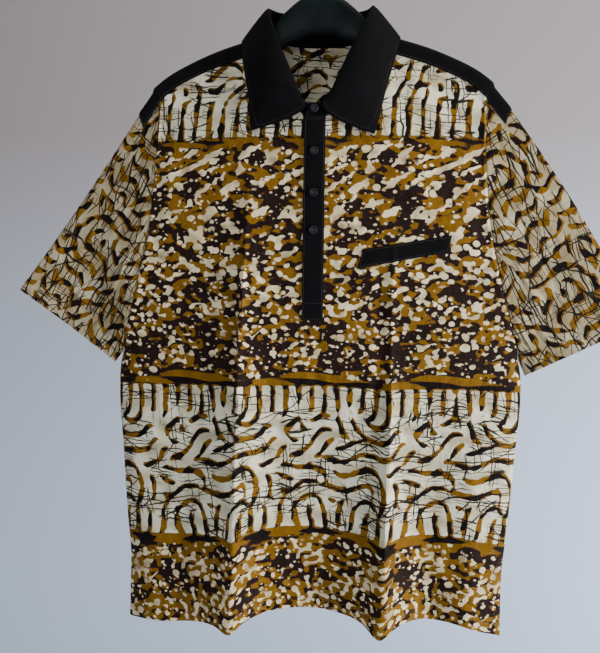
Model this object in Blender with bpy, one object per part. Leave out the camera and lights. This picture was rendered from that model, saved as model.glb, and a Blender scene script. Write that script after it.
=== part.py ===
"""A printed short-sleeve shirt with black collar, placket, shoulder strips and pocket welt, on a
moulded hanger. Metres, +Z up, +X towards the wearer's left sleeve, -Y in front of the chest. The
origin is the inside top of the hanger's hook, where a rail carries it.

Each cloth piece is a closed wall: a grid of outer points, a second grid one wall further in, and a
rim between them. The front and back grids share their rows, so the sleeves, the collar and the
shoulder strips are all worked out from the panels' own points.
"""

import math

import bmesh
import bpy
import numpy as np

MM = 0.001

# Cloth
WALL = 1.2 * MM
BLACK_WALL = 1.3 * MM
SEAM_GAP = 0.35 * MM
COLLAR_SEAM_GAP = 0.5 * MM
ARMHOLE_GAP = 0.5 * MM
HANGER_CLEARANCE = 2.75 * MM
LAY_GAP = 0.35 * MM
CURVE_ALLOWANCE = 0.35 * MM
ARMPIT_EASE = 1.6 * MM

# Body
NECK_HALF_WIDTH = 78 * MM
SHOULDER_HALF_WIDTH = 220 * MM
PANEL_HALF_WIDTH = 214 * MM
FRONT_NECK_DEPTH = 42 * MM
BACK_NECK_DEPTH = 31 * MM
RIDGE_RADIUS = 9 * MM
NECK_SPREAD = 60 * MM
ARMPIT_SPREAD = 0.6
SIDE_ROLL = 30 * MM
ARMPIT_Z = -545 * MM
VENT_TOP_Z = -808 * MM
HEM_Z = -895 * MM

# Placket, pocket and buttons
PLACKET_FOOT_Z = -502 * MM
WELT_CORNERS = ((62.5, -411.5), (172, -392.5), (169, -413.5), (55.5, -436))
BUTTON_RADIUS = 5.3 * MM
BUTTON_THICK = 2.6 * MM
BUTTON_HEIGHTS = {
    "button_top": -289 * MM,
    "button_middle": -341 * MM,
    "button_low": -388 * MM,
}
NECK_BUTTON_Z = -237 * MM

# Hook
HOOK_INSIDE_RADIUS = 17 * MM
HOOK_ROD_RADIUS = 4.2 * MM

# Top edge of the panels: neck-shoulder point to shoulder end (mm)
SHOULDER_LINE = {
    "x": (0, 40, 78, 102, 145, 172, 196, 212, 220),
    "z": (-118, -123, -133, -140.6, -155, -167, -179.5, -189, -195),
}
FRONT_NECKLINE = {
    "x": (0, 13.5, 24, 36, 48, 60, 70, 78),
    "z": (-250, -246, -234, -212, -187, -163, -145, -133),
}
BACK_NECKLINE = {
    "x": (0, 32, 64, 78),
    "z": (-140, -138.5, -135, -133),
}

# Half width of the panels: armhole down to the armpit, then the side seam (mm)
SIDE_LINE = {
    "z": (-900, -808, -773, -680, -590, -560, -545, -500, -469, -432, -400, -357, -310, -250, -215, -195),
    "x": (241, 243, 247, 255, 262, 260.5, 257.5, 247, 239, 230, 223, 217, 213.5, 212, 213, 220),
}

# Bottom edge of the front, which hangs lower at its two big folds (mm)
FRONT_HEM = {
    "x": (-245, -200, -150, -118, -98, -82, -52, 0, 40, 70, 93, 110, 150, 190, 214, 242),
    "z": (-896, -897, -895, -894, -900, -887, -875, -869, -873, -881, -896, -883, -876, -879, -886, -893),
}
BACK_HEM = {
    "x": (-245, -120, 0, 120, 245),
    "z": (-890, -872, -866, -872, -888),
}

# Forward folds of the front: where they run, how far they stand out, how wide they are (mm)
FRONT_FOLDS = (
    {"x_top": -84, "x_hem": -98, "z_top": -290, "depth": 31, "width": 30},
    {"x_top": 99, "x_hem": 93, "z_top": -520, "depth": 27, "width": 29},
    {"x_top": 205, "x_hem": 200, "z_top": -600, "depth": 9, "width": 26},
    {"x_top": -180, "x_hem": -196, "z_top": -560, "depth": 7, "width": 30},
    {"x_top": 8, "x_hem": 12, "z_top": -520, "depth": -7, "width": 38},
    {"x_top": 146, "x_hem": 148, "z_top": -600, "depth": -7, "width": 22},
)
BACK_FOLDS = (
    {"x_top": -120, "x_hem": -136, "z_top": -330, "depth": 9, "width": 34},
    {"x_top": 20, "x_hem": 6, "z_top": -300, "depth": 11, "width": 40},
    {"x_top": 138, "x_hem": 150, "z_top": -360, "depth": 8, "width": 32},
    {"x_top": -58, "x_hem": -66, "z_top": -420, "depth": -5, "width": 30},
    {"x_top": 82, "x_hem": 84, "z_top": -420, "depth": -6, "width": 30},
)

# How far the free cloth hangs from the middle plane, down the centre line (mm)
FRONT_HANG = {"z": (-900, -700, -500, -260, -120), "depth": (20, 25, 34, 40, 40)}
BACK_HANG = {"z": (-900, -700, -500, -260, -120), "depth": (17, 18, 21, 27, 30)}

# Rows: distances below the top edge (mm), shares down to the armpit, shares on to the hem
TOP_ROWS = (0, 1.2, 4.5, 9, 22)
ARM_ROWS = (0.11, 0.24, 0.37, 0.50, 0.63, 0.76, 0.88, 0.957, 1)
LOW_ROWS = (0.11, 0.23, 0.37, 0.51, 0.64, 0.745, 0.87, 1)
ARMPIT_ROW = len(TOP_ROWS) + len(ARM_ROWS) - 1
STRIP_ROW = len(TOP_ROWS) - 1

# Columns: half widths at the shoulder end's scale (mm)
FRONT_COLUMNS = (
    0, 6.75, 13.5, 24, 36, 48, 60, 69, 75, 78, 88, 99, 111, 124, 138, 153, 168, 183, 194, 204, 210.5, 214
)
BACK_COLUMNS = (0, 16, 32, 48, 62, 73, 78, 98, 120, 146, 172, 194, 204, 210.5, 214)

# Sleeves: top of the hem, its underarm end, how far the sleeve swings back, how far its top bows
# out (mm)
SLEEVES = {
    "sleeve_right": {
        "side": -1,
        "tip": (404, -466),
        "end": (268, -560),
        "swing": 12,
        "bow": -3,
    },
    "sleeve_left": {
        "side": 1,
        "tip": (405, -498),
        "end": (266, -566),
        "swing": 3,
        "bow": 8,
    },
}
SLEEVE_RINGS = (0, 0.06, 0.125, 0.25, 0.4, 0.55, 0.7, 0.85, 1)
STRIP_RINGS = 3
STRIP_START = 83 * MM
SLEEVE_HALF_DEPTH = 11 * MM
SLEEVE_FULLNESS = 0.35

# Collar, from the middle of the front round to the middle of the back (mm). The share is of the
# neck seam's length. The leaf turns over at the fold, passes near the bend and ends at the edge.
COLLAR_FOLD = {
    "share": (0, 0.06, 0.12, 0.22, 0.33, 0.44, 0.535, 0.635, 0.74, 0.88, 1),
    "x": (0, 8, 15, 23.5, 34.5, 45.5, 55.5, 67, 58, 32, 0),
    "y": (-45, -46, -46.5, -46, -44, -41, -33, -9, 16, 31, 35),
    "z": (-229, -229, -226, -206.5, -181, -156.5, -132, -99, -96, -95, -95),
}
LEAF_BEND = {
    "share": (0.10, 0.22, 0.33, 0.44, 0.535, 0.635, 0.74, 0.88, 1),
    "x": (-4, 50, 62, 71, 78, 84, 72, 40, 0),
    "y": (-51, -54, -51, -45, -33, -7, 22, 38, 43),
    "z": (-245, -218, -192, -167, -143, -110, -108, -108, -108),
}
LEAF_EDGE = {
    "share": (0.10, 0.22, 0.33, 0.44, 0.535, 0.635, 0.74, 0.88, 1),
    "x": (77, 83, 88, 92.5, 97, 101, 86, 47, 0),
    "y": (-42, -38, -33, -28, -19, -2, 23, 38, 43),
    "z": (-263, -238, -213, -189, -164, -133.5, -138, -144, -146),
}
LEAF_START = (0.10, 0.15)
LEAF_ROWS = (0, 0.07, 0.17, 0.33, 0.55, 0.78, 1)
STAND_ROWS = (0, 0.34, 0.67, 1)
STAND_BEVEL = 0.4
STAND_LAP = (1, 1, 1, 1, 1, 0.5)
LEAF_ROLL = 2.2 * MM
LEAF_FRONT_ROLL = 2.6 * MM

# Hanger: stations along half its length, its underside and its thickness, and the top of the part
# that the neck leaves bare. Its arms follow the shoulder line (mm).
HANGER_SECTIONS = {
    "x": (0, 10, 18, 27, 36, 44, 58, 70, 80, 100, 130, 160, 190, 205, 212),
    "low": (-130, -131, -132, -136, -139, -143, -150, -156, -160, -166, -175, -185, -197, -203, -204.5),
    "half_thick": (7, 7, 7, 7, 7, 7, 6.8, 6.4, 6.2, 6.2, 6, 6, 5.8, 5.2, 4),
}
HANGER_NECK = {"x": (0, 10, 18, 44, 58, 70, 78), "top": (-80, -80, -81, -98.5, -113, -130, -138)}
HANGER_SIDES = 12

PRINT_CREAM = (0.80, 0.74, 0.53, 1)
PRINT_OCHRE = (0.42, 0.22, 0.04, 1)
CLOTH_BLACK = (0.022, 0.014, 0.018, 1)
HANGER_GREEN = (0.012, 0.020, 0.019, 1)


def clear_scene():
    for item in list(bpy.data.objects):
        bpy.data.objects.remove(item, do_unlink=True)


def make_material(name, colour, roughness):
    material = bpy.data.materials.new(name)
    material.use_nodes = True
    shader = material.node_tree.nodes["Principled BSDF"]
    shader.inputs["Base Color"].default_value = colour
    shader.inputs["Roughness"].default_value = roughness
    shader.inputs["Metallic"].default_value = 0.0
    material.diffuse_color = colour
    return material


def add_object(name, points, faces, material):
    """A smooth-shaded object from points and faces, with its faces turned outward."""
    mesh = bpy.data.meshes.new(name)
    mesh.from_pydata(np.asarray(points).tolist(), [], faces)
    build = bmesh.new()
    build.from_mesh(mesh)
    bmesh.ops.recalc_face_normals(build, faces=build.faces)
    if build.calc_volume(signed=True) < 0:
        bmesh.ops.reverse_faces(build, faces=build.faces)
    build.to_mesh(mesh)
    build.free()
    mesh.materials.append(material)
    item = bpy.data.objects.new(name, mesh)
    bpy.context.scene.collection.objects.link(item)
    mesh.shade_smooth()
    mesh.set_sharp_from_angle(angle=math.radians(40))
    return item


def curve_through(rows, along, value, at):
    """A smooth curve through a table's rows: cubic pieces whose slopes come from each row's two
    neighbours, kept flat where the rows turn back so that it never overshoots them."""
    known = np.asarray(rows[along], float)
    height = np.asarray(rows[value], float)
    step = np.diff(known)
    rise = np.diff(height) / step
    middle = (rise[:-1] * step[1:] + rise[1:] * step[:-1]) / (step[1:] + step[:-1])
    slope = np.concatenate([rise[:1], middle, rise[-1:]])
    before = np.insert(rise, 0, rise[0])
    after = np.append(rise, rise[-1])
    low = np.minimum(np.abs(before), np.abs(after))
    slope = np.where(before * after < 0, 0, np.clip(slope, -3 * low, 3 * low))
    at = np.clip(np.asarray(at, float), known[0], known[-1])
    piece = np.clip(np.searchsorted(known, at, side="right") - 1, 0, len(step) - 1)
    share = (at - known[piece]) / step[piece]
    start = (1 + 2 * share) * (1 - share) ** 2 * height[piece]
    end = share**2 * (3 - 2 * share) * height[piece + 1]
    lean = share * (1 - share) ** 2 * slope[piece] - share**2 * (1 - share) * slope[piece + 1]
    return start + end + lean * step[piece]


def smooth_step(share):
    share = np.clip(share, 0, 1)
    return share * share * (3 - 2 * share)


def side_x(z):
    """Half width of the panels at a height."""
    return curve_through(SIDE_LINE, "z", "x", z / MM) * MM


def top_z(x, neckline):
    """Height of a panel's top edge: its neckline inside the neck point, the shoulder line beyond."""
    reach = np.abs(x) / MM
    neck = curve_through(neckline, "x", "z", reach)
    shoulder = curve_through(SHOULDER_LINE, "x", "z", reach)
    return np.where(reach < NECK_HALF_WIDTH / MM, neck, shoulder) * MM


def panel_x(u, z):
    """Where the column u (-1 to 1) of a panel runs at a height: only the sides flare."""
    return u * PANEL_HALF_WIDTH + (side_x(z) - PANEL_HALF_WIDTH) * u**3


def panel_rows(u, neckline, hem):
    """Heights of the rows of the columns u (-1 to 1): fixed steps under the top edge, then shares
    of the way to the armpit's level, then shares of the way to the hem."""
    top = top_z(u * SHOULDER_HALF_WIDTH, neckline)
    under = top - TOP_ROWS[-1] * MM
    bottom = curve_through(hem, "x", "z", panel_x(u, HEM_Z) / MM) * MM
    rows = [top - step * MM for step in TOP_ROWS]
    rows += [under + (ARMPIT_Z - under) * share for share in ARM_ROWS]
    rows += [ARMPIT_Z + (bottom - ARMPIT_Z) * share for share in LOW_ROWS]
    return np.array(rows)


def fold_height(folds, x, z):
    """Sum of the folds: bell-shaped ridges or valleys that grow from nothing down to the hem."""
    total = np.zeros_like(x)
    for fold in folds:
        top = fold["z_top"] * MM
        run = np.clip((top - z) / (top - HEM_Z), 0, 1.05)
        centre = (fold["x_top"] + (fold["x_hem"] - fold["x_top"]) * run) * MM
        bell = np.exp(-(((x - centre) / (fold["width"] * MM)) ** 2))
        total += fold["depth"] * MM * bell * run**1.15
    return total


def panel_depth(x, z, below, hang, folds, neck_depth):
    """Distance of a panel from the middle plane. Near its top edge it follows the neck's ellipse
    and rolls over the hanger, further down it hangs free with its folds, and at the side seams it
    rolls in to meet the other panel. Above the armpit the sleeve carries the roll further out."""
    across = np.clip(np.abs(x) / (NECK_HALF_WIDTH + 0.5 * below), 0, 1)
    neck = neck_depth * (1 - across**2) ** (0.5 + smooth_step(below / NECK_SPREAD))
    roll = RIDGE_RADIUS * np.sqrt(1 - (1 - np.clip(below / RIDGE_RADIUS, 0, 1)) ** 2)
    edge = neck + (1 - neck / neck_depth) * roll
    centre = curve_through(hang, "z", "depth", z / MM) * MM
    free = centre * (1 - 0.6 * (np.abs(x) / (240 * MM)) ** 2) + fold_height(folds, x, z)
    blend = 1 - np.exp(-((below / (90 * MM)) ** 2))
    depth = edge * (1 - blend) + free * blend
    reach = side_x(np.minimum(z, ARMPIT_Z)) + ARMPIT_SPREAD * np.maximum(z - ARMPIT_Z, 0)
    inset = np.clip((reach - np.abs(x)) / SIDE_ROLL, 0, 1)
    close = np.sqrt(1 - (1 - inset) ** 2)
    vent = smooth_step((VENT_TOP_Z - z) / (60 * MM))
    return depth * (close + (1 - close) * 0.45 * vent)


def panel_points(columns, neckline, hem, hang, folds, neck_depth, front):
    """A panel's outer points, rows down from the top edge and columns across."""
    half = np.array(columns) / columns[-1]
    u = np.concatenate([-half[:0:-1], half])
    z = panel_rows(u, neckline, hem)
    x = panel_x(u, z)
    below = top_z(u * SHOULDER_HALF_WIDTH, neckline) - z
    depth = panel_depth(x, z, below, hang, folds, neck_depth)
    depth = np.maximum(depth, SEAM_GAP / 2)
    return np.stack([x, -depth if front else depth, z], axis=-1)


def inward_of(points, towards):
    """Unit vectors into the cloth: each point's normal, from its neighbours, on the given side."""
    down = np.gradient(points, axis=0)
    over = np.gradient(points, axis=1)
    normal = np.cross(down, over)
    normal /= np.linalg.norm(normal, axis=-1, keepdims=True) + 1e-12
    facing = np.sign((normal * towards).sum(axis=-1, keepdims=True))
    return normal * np.where(facing == 0, 1, facing)


def below_line(line):
    """Unit vectors square to a line in the X-Z plane, on its lower side."""
    run = np.gradient(line, axis=0)
    square = np.stack([run[:, 2], np.zeros(len(run)), -run[:, 0]], axis=1)
    square /= np.linalg.norm(square, axis=1, keepdims=True)
    return square * np.where(square[:, 2:] > 0, -1, 1)


def panel_inward(points, front):
    """Into the cloth from a panel's outer points, straight down along the shoulder's ridge and
    straight in at the side seams, so that neighbouring pieces keep their gap."""
    inward = inward_of(points, np.array([0, 1.0 if front else -1.0, 0]))
    ridge = np.abs(points[0, :, 0]) >= NECK_HALF_WIDTH - 1e-6
    inward[0, ridge] = below_line(points[0])[ridge]
    for column, sign in ((0, 1), (-1, -1)):
        inward[ARMPIT_ROW:, column] = (sign, 0, 0)
    return inward


def wall(name, points, inward, thick, material, ring=False):
    """A closed cloth wall from a grid of outer points. Each square is cut along its shorter
    diagonal, the same one outside and inside. A ring's columns run round a tube."""
    rows, columns = points.shape[:2]
    count = rows * columns
    outer = points.reshape(-1, 3)
    both = np.concatenate([outer, (points + inward * thick).reshape(-1, 3)])
    faces = []
    last = columns if ring else columns - 1
    for row in range(rows - 1):
        for column in range(last):
            after = (column + 1) % columns
            a = row * columns + column
            b = row * columns + after
            c = (row + 1) * columns + after
            d = (row + 1) * columns + column
            if np.linalg.norm(outer[a] - outer[c]) < np.linalg.norm(outer[b] - outer[d]):
                halves = [[a, b, c], [a, c, d]]
            else:
                halves = [[a, b, d], [b, c, d]]
            faces += halves
            faces += [[corner + count for corner in reversed(half)] for half in halves]
    edges = [(column, (column + 1) % columns) for column in range(last)]
    low = (rows - 1) * columns
    edges += [(low + (column + 1) % columns, low + column) for column in range(last)]
    if not ring:
        edges += [((row + 1) * columns, row * columns) for row in range(rows - 1)]
        right = columns - 1
        edges += [(row * columns + right, (row + 1) * columns + right) for row in range(rows - 1)]
    faces += [[end, start, start + count, end + count] for start, end in edges]
    return add_object(name, both, faces, material)


def sleeve_points(front, back, side, tip, end, swing, bow):
    """A sleeve's outer points. Each ring runs from the shoulder down the front to the underarm and
    up the back. The first ring is the panels' armhole edges, and the last one is the flat hem."""
    column = -1 if side > 0 else 0
    down = front[: ARMPIT_ROW + 1, column].copy()
    up = back[ARMPIT_ROW::-1, column].copy()
    down[0, 1] = 0
    down[-1, 1] = 0
    start = np.concatenate([down, up[1:-1]])
    length = np.concatenate([[0], np.cumsum(np.linalg.norm(np.diff(down[:, [0, 2]], axis=0), axis=1))])
    share = length / length[-1]
    share = np.concatenate([share, share[-2:0:-1]])
    facing = np.concatenate([-np.ones(len(down)), np.ones(len(up) - 2)])
    tip = np.array([side * tip[0], 0, tip[1]]) * MM
    end = np.array([side * end[0], 0, end[1]]) * MM
    lens = np.sin(np.pi * share) ** SLEEVE_FULLNESS * SLEEVE_HALF_DEPTH
    hem = tip + (end - tip) * share[:, None]
    hem[:, 1] = facing * lens + 2 * swing * MM * np.sin(np.pi * share)
    start[:, 0] += side * (ARMHOLE_GAP + ARMPIT_EASE * share**4)
    top_run = (hem[0] - start[0]) / np.linalg.norm(hem[0] - start[0])
    outward = np.array([-top_run[2], 0, top_run[0]]) * side
    rings = []
    for along in SLEEVE_RINGS:
        ring = start + (hem - start) * along
        ring += np.outer((1 - share) * math.sin(math.pi * along), outward) * bow * MM
        flat = smooth_step(along / 0.7)
        own = facing * lens * (1 - 0.15 * along) + swing * MM * np.sin(np.pi * share) * along
        ring[:, 1] = start[:, 1] * (1 - flat) + own * flat
        rings.append(ring)
    return np.array(rings)


def sleeve_inward(points, front_in, back_in, side):
    """Into the sleeve's cloth: towards its middle, and at the armhole the panels' own directions,
    save at the armpit, where the underarm's direction goes on."""
    around = np.roll(points, -1, axis=1) - np.roll(points, 1, axis=1)
    along = np.gradient(points, axis=0)
    normal = np.cross(around, along)
    normal /= np.linalg.norm(normal, axis=-1, keepdims=True) + 1e-12
    to_middle = points.mean(axis=1, keepdims=True) - points
    to_middle[..., 1] *= 20
    facing = np.sign((normal * to_middle).sum(axis=-1, keepdims=True))
    normal = normal * np.where(facing == 0, 1, facing)
    column = -1 if side > 0 else 0
    down = front_in[: ARMPIT_ROW + 1, column]
    up = back_in[ARMPIT_ROW::-1, column]
    normal[0] = np.concatenate([down, up[1:-1]])
    normal[0, ARMPIT_ROW] = normal[1, ARMPIT_ROW]
    return normal


def strip_points(front, back, sleeve, side):
    """A shoulder strip's own base: the panels' and the sleeve cap's points under it, as one grid
    from its back edge over the ridge to its front edge, outward from the neck."""
    keep = side * front[0, :, 0] >= STRIP_START
    columns = front[: STRIP_ROW + 1, keep]
    if side < 0:
        columns = columns[:, ::-1]
    behind = []
    for row in range(1, STRIP_ROW + 1):
        known = back[row, :, 0]
        line = [np.interp(columns[row, :, 0], known, back[row, :, axis]) for axis in range(3)]
        behind.append(np.stack(line, axis=-1))
    ridge = columns[:1].copy()
    ridge[..., 1] = 0
    body = np.concatenate([np.array(behind)[::-1], ridge, columns[1:]])
    ring = sleeve[1:STRIP_RINGS]
    cap = np.concatenate([ring[:, -STRIP_ROW:], ring[:, : STRIP_ROW + 1]], axis=1)
    return np.concatenate([body, np.swapaxes(cap, 0, 1)], axis=1)


def strip_wall(name, points, side, material):
    """A band moved out from the points under it, thick enough to clear them all round."""
    middle = points[STRIP_ROW].copy()
    middle[:, 2] -= RIDGE_RADIUS
    out = inward_of(points, np.array([0, 0, 1.0]))
    away = points - middle[None]
    facing = np.sign((out * away).sum(axis=-1, keepdims=True))
    out = out * np.where(facing == 0, 1, facing)
    out[STRIP_ROW] = -below_line(points[STRIP_ROW])
    outer = points + out * (LAY_GAP + CURVE_ALLOWANCE + BLACK_WALL)
    return wall(name, outer, -out, BLACK_WALL, material)


def collar_base(front, back):
    """Half of the neck seam, on +X, with its shares of length."""
    middle_front = front.shape[1] // 2
    middle_back = back.shape[1] // 2
    ahead = slice(middle_front, middle_front + FRONT_COLUMNS.index(78) + 1)
    behind = slice(middle_back + BACK_COLUMNS.index(78) - 1, middle_back - 1, -1)
    seam = np.concatenate([front[0, ahead], back[0, behind]])
    seam[FRONT_COLUMNS.index(78), 1] = 0
    length = np.concatenate([[0], np.cumsum(np.linalg.norm(np.diff(seam, axis=0), axis=1))])
    return seam, length / length[-1]


def table_points(table, share):
    """Points of a collar table at shares of the neck seam, in metres."""
    return np.stack([curve_through(table, "share", axis, share) for axis in "xyz"], axis=-1) * MM


def mirrored(half):
    """A half collar's rows joined to their mirror image across the middle of the back."""
    other = half[:, -2::-1] * np.array([-1, 1, 1])
    return np.concatenate([half, other], axis=1)


def stand_wall(front, back, material):
    """The collar stand: from the neck seam up to just under the collar's fold. Its wearer's-left
    end laps over the other at the front."""
    seam, share = collar_base(front, back)
    fold = table_points(COLLAR_FOLD, share)
    rise = fold - seam
    rise /= np.linalg.norm(rise, axis=-1, keepdims=True)
    run = np.gradient(seam, axis=0)
    run /= np.linalg.norm(run, axis=-1, keepdims=True)
    square = rise - run * (rise * run).sum(axis=-1, keepdims=True)
    square /= np.linalg.norm(square, axis=-1, keepdims=True)
    low = seam + square * COLLAR_SEAM_GAP
    high = fold - rise * SEAM_GAP
    rows = np.array([low + (high - low) * step for step in STAND_ROWS])
    rows = mirrored(rows)
    bevel = np.concatenate([square, square[-2::-1] * np.array([-1, 1, 1])]) * STAND_BEVEL
    axis_point = np.array([0, -4 * MM, 0])
    towards = axis_point - rows
    towards[..., 2] = 0
    inward = inward_of(rows, towards)
    for end in (0, -1):
        inward[:, end] = (0, 1, 0)
    inward[0] += bevel
    flip = np.array([-1, 1, 1])
    over = rows[:, 2:0:-1] * flip
    under = rows[:, -2:-4:-1] * flip
    rows = np.concatenate([over, rows, under], axis=1)
    inward = np.concatenate([inward[:, 2:0:-1] * flip, inward, inward[:, -2:-4:-1] * flip], axis=1)
    for column, share in enumerate(STAND_LAP):
        rows[:, column, 1] -= share * (WALL + BLACK_WALL)
        inward[:, column] = (0, 1, 0)
        inward[:, -1 - column] = (0, 1, 0)
    return wall("collar_stand", rows, inward, BLACK_WALL, material)


def leaf_wall(front, back, material):
    """The collar leaf: a quadratic curve from each point of the fold past the bend to the edge,
    with a small roll over the stand's top edge at its start."""
    share = collar_base(front, back)[1]
    share = np.concatenate([LEAF_START, share[share > LEAF_START[1] + 0.03]])
    fold = table_points(COLLAR_FOLD, share)
    bend = table_points(LEAF_BEND, share)
    edge = table_points(LEAF_EDGE, share)
    lift = np.array([0, 0, 1.0]) * (SEAM_GAP + BLACK_WALL)
    run = np.gradient(fold, axis=0)
    out = np.stack([-run[:, 1], run[:, 0], np.zeros(len(run))], axis=1)
    out /= np.linalg.norm(out, axis=1, keepdims=True)
    out *= np.where((out * fold).sum(axis=1, keepdims=True) < 0, -1, 1)
    front_roll = LEAF_FRONT_ROLL * np.exp(-((share / 0.16) ** 2))
    rows = []
    for step in LEAF_ROWS:
        line = fold * (1 - step) ** 2 + bend * 2 * step * (1 - step) + edge * step**2
        turned = 1 - math.exp(-step / 0.05)
        roll = (LEAF_ROLL * turned + front_roll) * (1 - 0.5 * step)
        rows.append(line + lift * (1 - step) + out * roll[:, None])
    rows = mirrored(np.array(rows))
    middle = np.array([0, -4 * MM, 0])
    towards = middle - rows
    towards[..., 2] = -0.05
    inward = inward_of(rows, towards)
    inward[0] = (0, 0, -1)
    return wall("collar_leaf", rows, inward, BLACK_WALL, material)


def grid_at(panel, row, column):
    """A point inside a panel's grid, between its rows and columns."""
    top = int(min(math.floor(row), panel.shape[0] - 2))
    left = int(min(math.floor(column), panel.shape[1] - 2))
    down = row - top
    over = column - left
    upper = panel[top, left] * (1 - over) + panel[top, left + 1] * over
    lower = panel[top + 1, left] * (1 - over) + panel[top + 1, left + 1] * over
    return upper * (1 - down) + lower * down


def point_on(panel, x, z):
    """The panel's point that shows at x and z, found by stepping to it across the grid."""
    row = panel.shape[0] / 2
    column = (panel.shape[1] - 1) / 2
    for _ in range(40):
        here = grid_at(panel, row, column)
        right = grid_at(panel, row, min(column + 0.5, panel.shape[1] - 1))
        under = grid_at(panel, min(row + 0.5, panel.shape[0] - 1), column)
        across = max((right[0] - here[0]) * 2, 1e-6)
        down = min((under[2] - here[2]) * 2, -1e-6)
        column = min(max(column + 0.8 * (x - here[0]) / across, 0), panel.shape[1] - 1.6)
        row = min(max(row + 0.8 * (z - here[2]) / down, 0), panel.shape[0] - 1.6)
    return grid_at(panel, row, column)


def placket_wall(front, material):
    """The placket: the front's middle columns, moved out, down to its square foot."""
    middle = front.shape[1] // 2
    strip = front[:, middle - 2 : middle + 3]
    rows = [strip[row] for row in range(len(strip)) if strip[row, 2, 2] > PLACKET_FOOT_Z + 4 * MM]
    above = len(rows) - 1
    step = (PLACKET_FOOT_Z - strip[above, :, 2]) / (strip[above + 1, :, 2] - strip[above, :, 2])
    foot = strip[above] + (strip[above + 1] - strip[above]) * step[:, None]
    foot[:, 2] = PLACKET_FOOT_Z
    points = np.array(rows[:1] + rows[2:3] + rows[4:] + [foot])
    inward = inward_of(points, np.array([0, 1.0, 0]))
    inward[0] = (0, 1, 0)
    outer = points - inward * (LAY_GAP + BLACK_WALL)
    return wall("placket", outer, inward, BLACK_WALL, material), outer


def welt_wall(front, material):
    """The slanted pocket welt, laid on the front."""
    corners = np.array(WELT_CORNERS, float) * MM
    rows = []
    for down in (0, 0.5, 1):
        left = corners[0] + (corners[3] - corners[0]) * down
        right = corners[1] + (corners[2] - corners[1]) * down
        line = [point_on(front, *(left + (right - left) * over)) for over in np.linspace(0, 1, 9)]
        rows.append(line)
    points = np.array(rows)
    inward = inward_of(points, np.array([0, 1.0, 0]))
    outer = points - inward * (LAY_GAP + BLACK_WALL)
    return wall("pocket_welt", outer, inward, BLACK_WALL, material)


def add_button(name, centre, outward, material):
    """A turned button: flat back, round rim and a dished face, its axis along outward."""
    profile = (
        (0, 0),
        (0.80, 0),
        (1, 0.38),
        (0.97, 0.80),
        (0.84, 1),
        (0.66, 0.86),
        (0.50, 0.62),
        (0, 0.62),
    )
    mesh = bpy.data.meshes.new(name)
    build = bmesh.new()
    spots = [
        build.verts.new((radius * BUTTON_RADIUS, 0, height * BUTTON_THICK)) for radius, height in profile
    ]
    edges = [build.edges.new(pair) for pair in zip(spots, spots[1:])]
    bmesh.ops.spin(
        build,
        geom=spots + edges,
        cent=(0, 0, 0),
        axis=(0, 0, 1),
        angle=math.tau,
        steps=16,
        use_merge=True,
    )
    bmesh.ops.remove_doubles(build, verts=build.verts, dist=1e-6)
    bmesh.ops.recalc_face_normals(build, faces=build.faces)
    build.to_mesh(mesh)
    build.free()
    mesh.materials.append(material)
    mesh.shade_smooth()
    mesh.set_sharp_from_angle(angle=math.radians(50))
    item = bpy.data.objects.new(name, mesh)
    bpy.context.scene.collection.objects.link(item)
    outward = np.asarray(outward) / np.linalg.norm(outward)
    item.location = np.asarray(centre)
    turn = math.atan2(outward[1], outward[0]) + math.pi / 2
    item.rotation_euler = (math.acos(outward[2]), 0, turn)
    return item


def place_buttons(placket, material):
    """Three buttons on the placket's outer face."""
    middle = placket[:, placket.shape[1] // 2]
    for name, z in BUTTON_HEIGHTS.items():
        y = np.interp(-z, -middle[:, 2], middle[:, 1])
        above = np.interp(-(z + 5 * MM), -middle[:, 2], middle[:, 1])
        below = np.interp(-(z - 5 * MM), -middle[:, 2], middle[:, 1])
        lean = (below - above) / (10 * MM)
        outward = np.array([0, -1, -lean])
        outward /= np.linalg.norm(outward)
        add_button(name, np.array([0, y, z]) + outward * LAY_GAP, outward, material)


def tube(name, path, radius, sides, material):
    """A round rod along a path in the X-Z plane, with closed ends."""
    path = np.asarray(path)
    run = np.gradient(path, axis=0)
    run /= np.linalg.norm(run, axis=1, keepdims=True)
    across = np.stack([run[:, 2], np.zeros(len(run)), -run[:, 0]], axis=1)
    turn = np.arange(sides) * math.tau / sides
    points = [
        spot + radius * (np.outer(np.cos(turn), side) + np.outer(np.sin(turn), (0, 1, 0)))
        for spot, side in zip(path, across)
    ]
    faces = []
    for row in range(len(path) - 1):
        for column in range(sides):
            after = (column + 1) % sides
            low = row * sides
            high = low + sides
            faces.append([low + column, low + after, high + after, high + column])
    faces.append(list(range(sides)))
    faces.append([high + column for column in reversed(range(sides))])
    return add_object(name, np.concatenate(points), faces, material)


def hook_path():
    """The hook's middle line: up out of the neck, a reverse bend, then an arc round the rail."""
    radius = HOOK_INSIDE_RADIUS + HOOK_ROD_RADIUS
    centre = np.array([0, 0, -HOOK_INSIDE_RADIUS])
    angles = np.radians(np.arange(-50, 216, 15.5))
    arc = centre + radius * np.stack([np.cos(angles), 0 * angles, np.sin(angles)], axis=1)
    start = np.array([0, 0, -58 * MM])
    end = arc[0]
    reach = 22 * MM
    leave = np.array([0, 0, 1.0]) * reach
    arrive = np.array([-math.sin(angles[0]), 0, math.cos(angles[0])]) * reach
    share = np.linspace(0, 1, 7)[1:-1, None]
    bend = (
        (1 + 2 * share) * (1 - share) ** 2 * start
        + share**2 * (3 - 2 * share) * end
        + share * (1 - share) ** 2 * leave
        - share**2 * (1 - share) * arrive
    )
    stem = np.array([[0, 0, -92 * MM], [0, 0, -76 * MM], start])
    return np.concatenate([stem, bend, arc])


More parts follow.
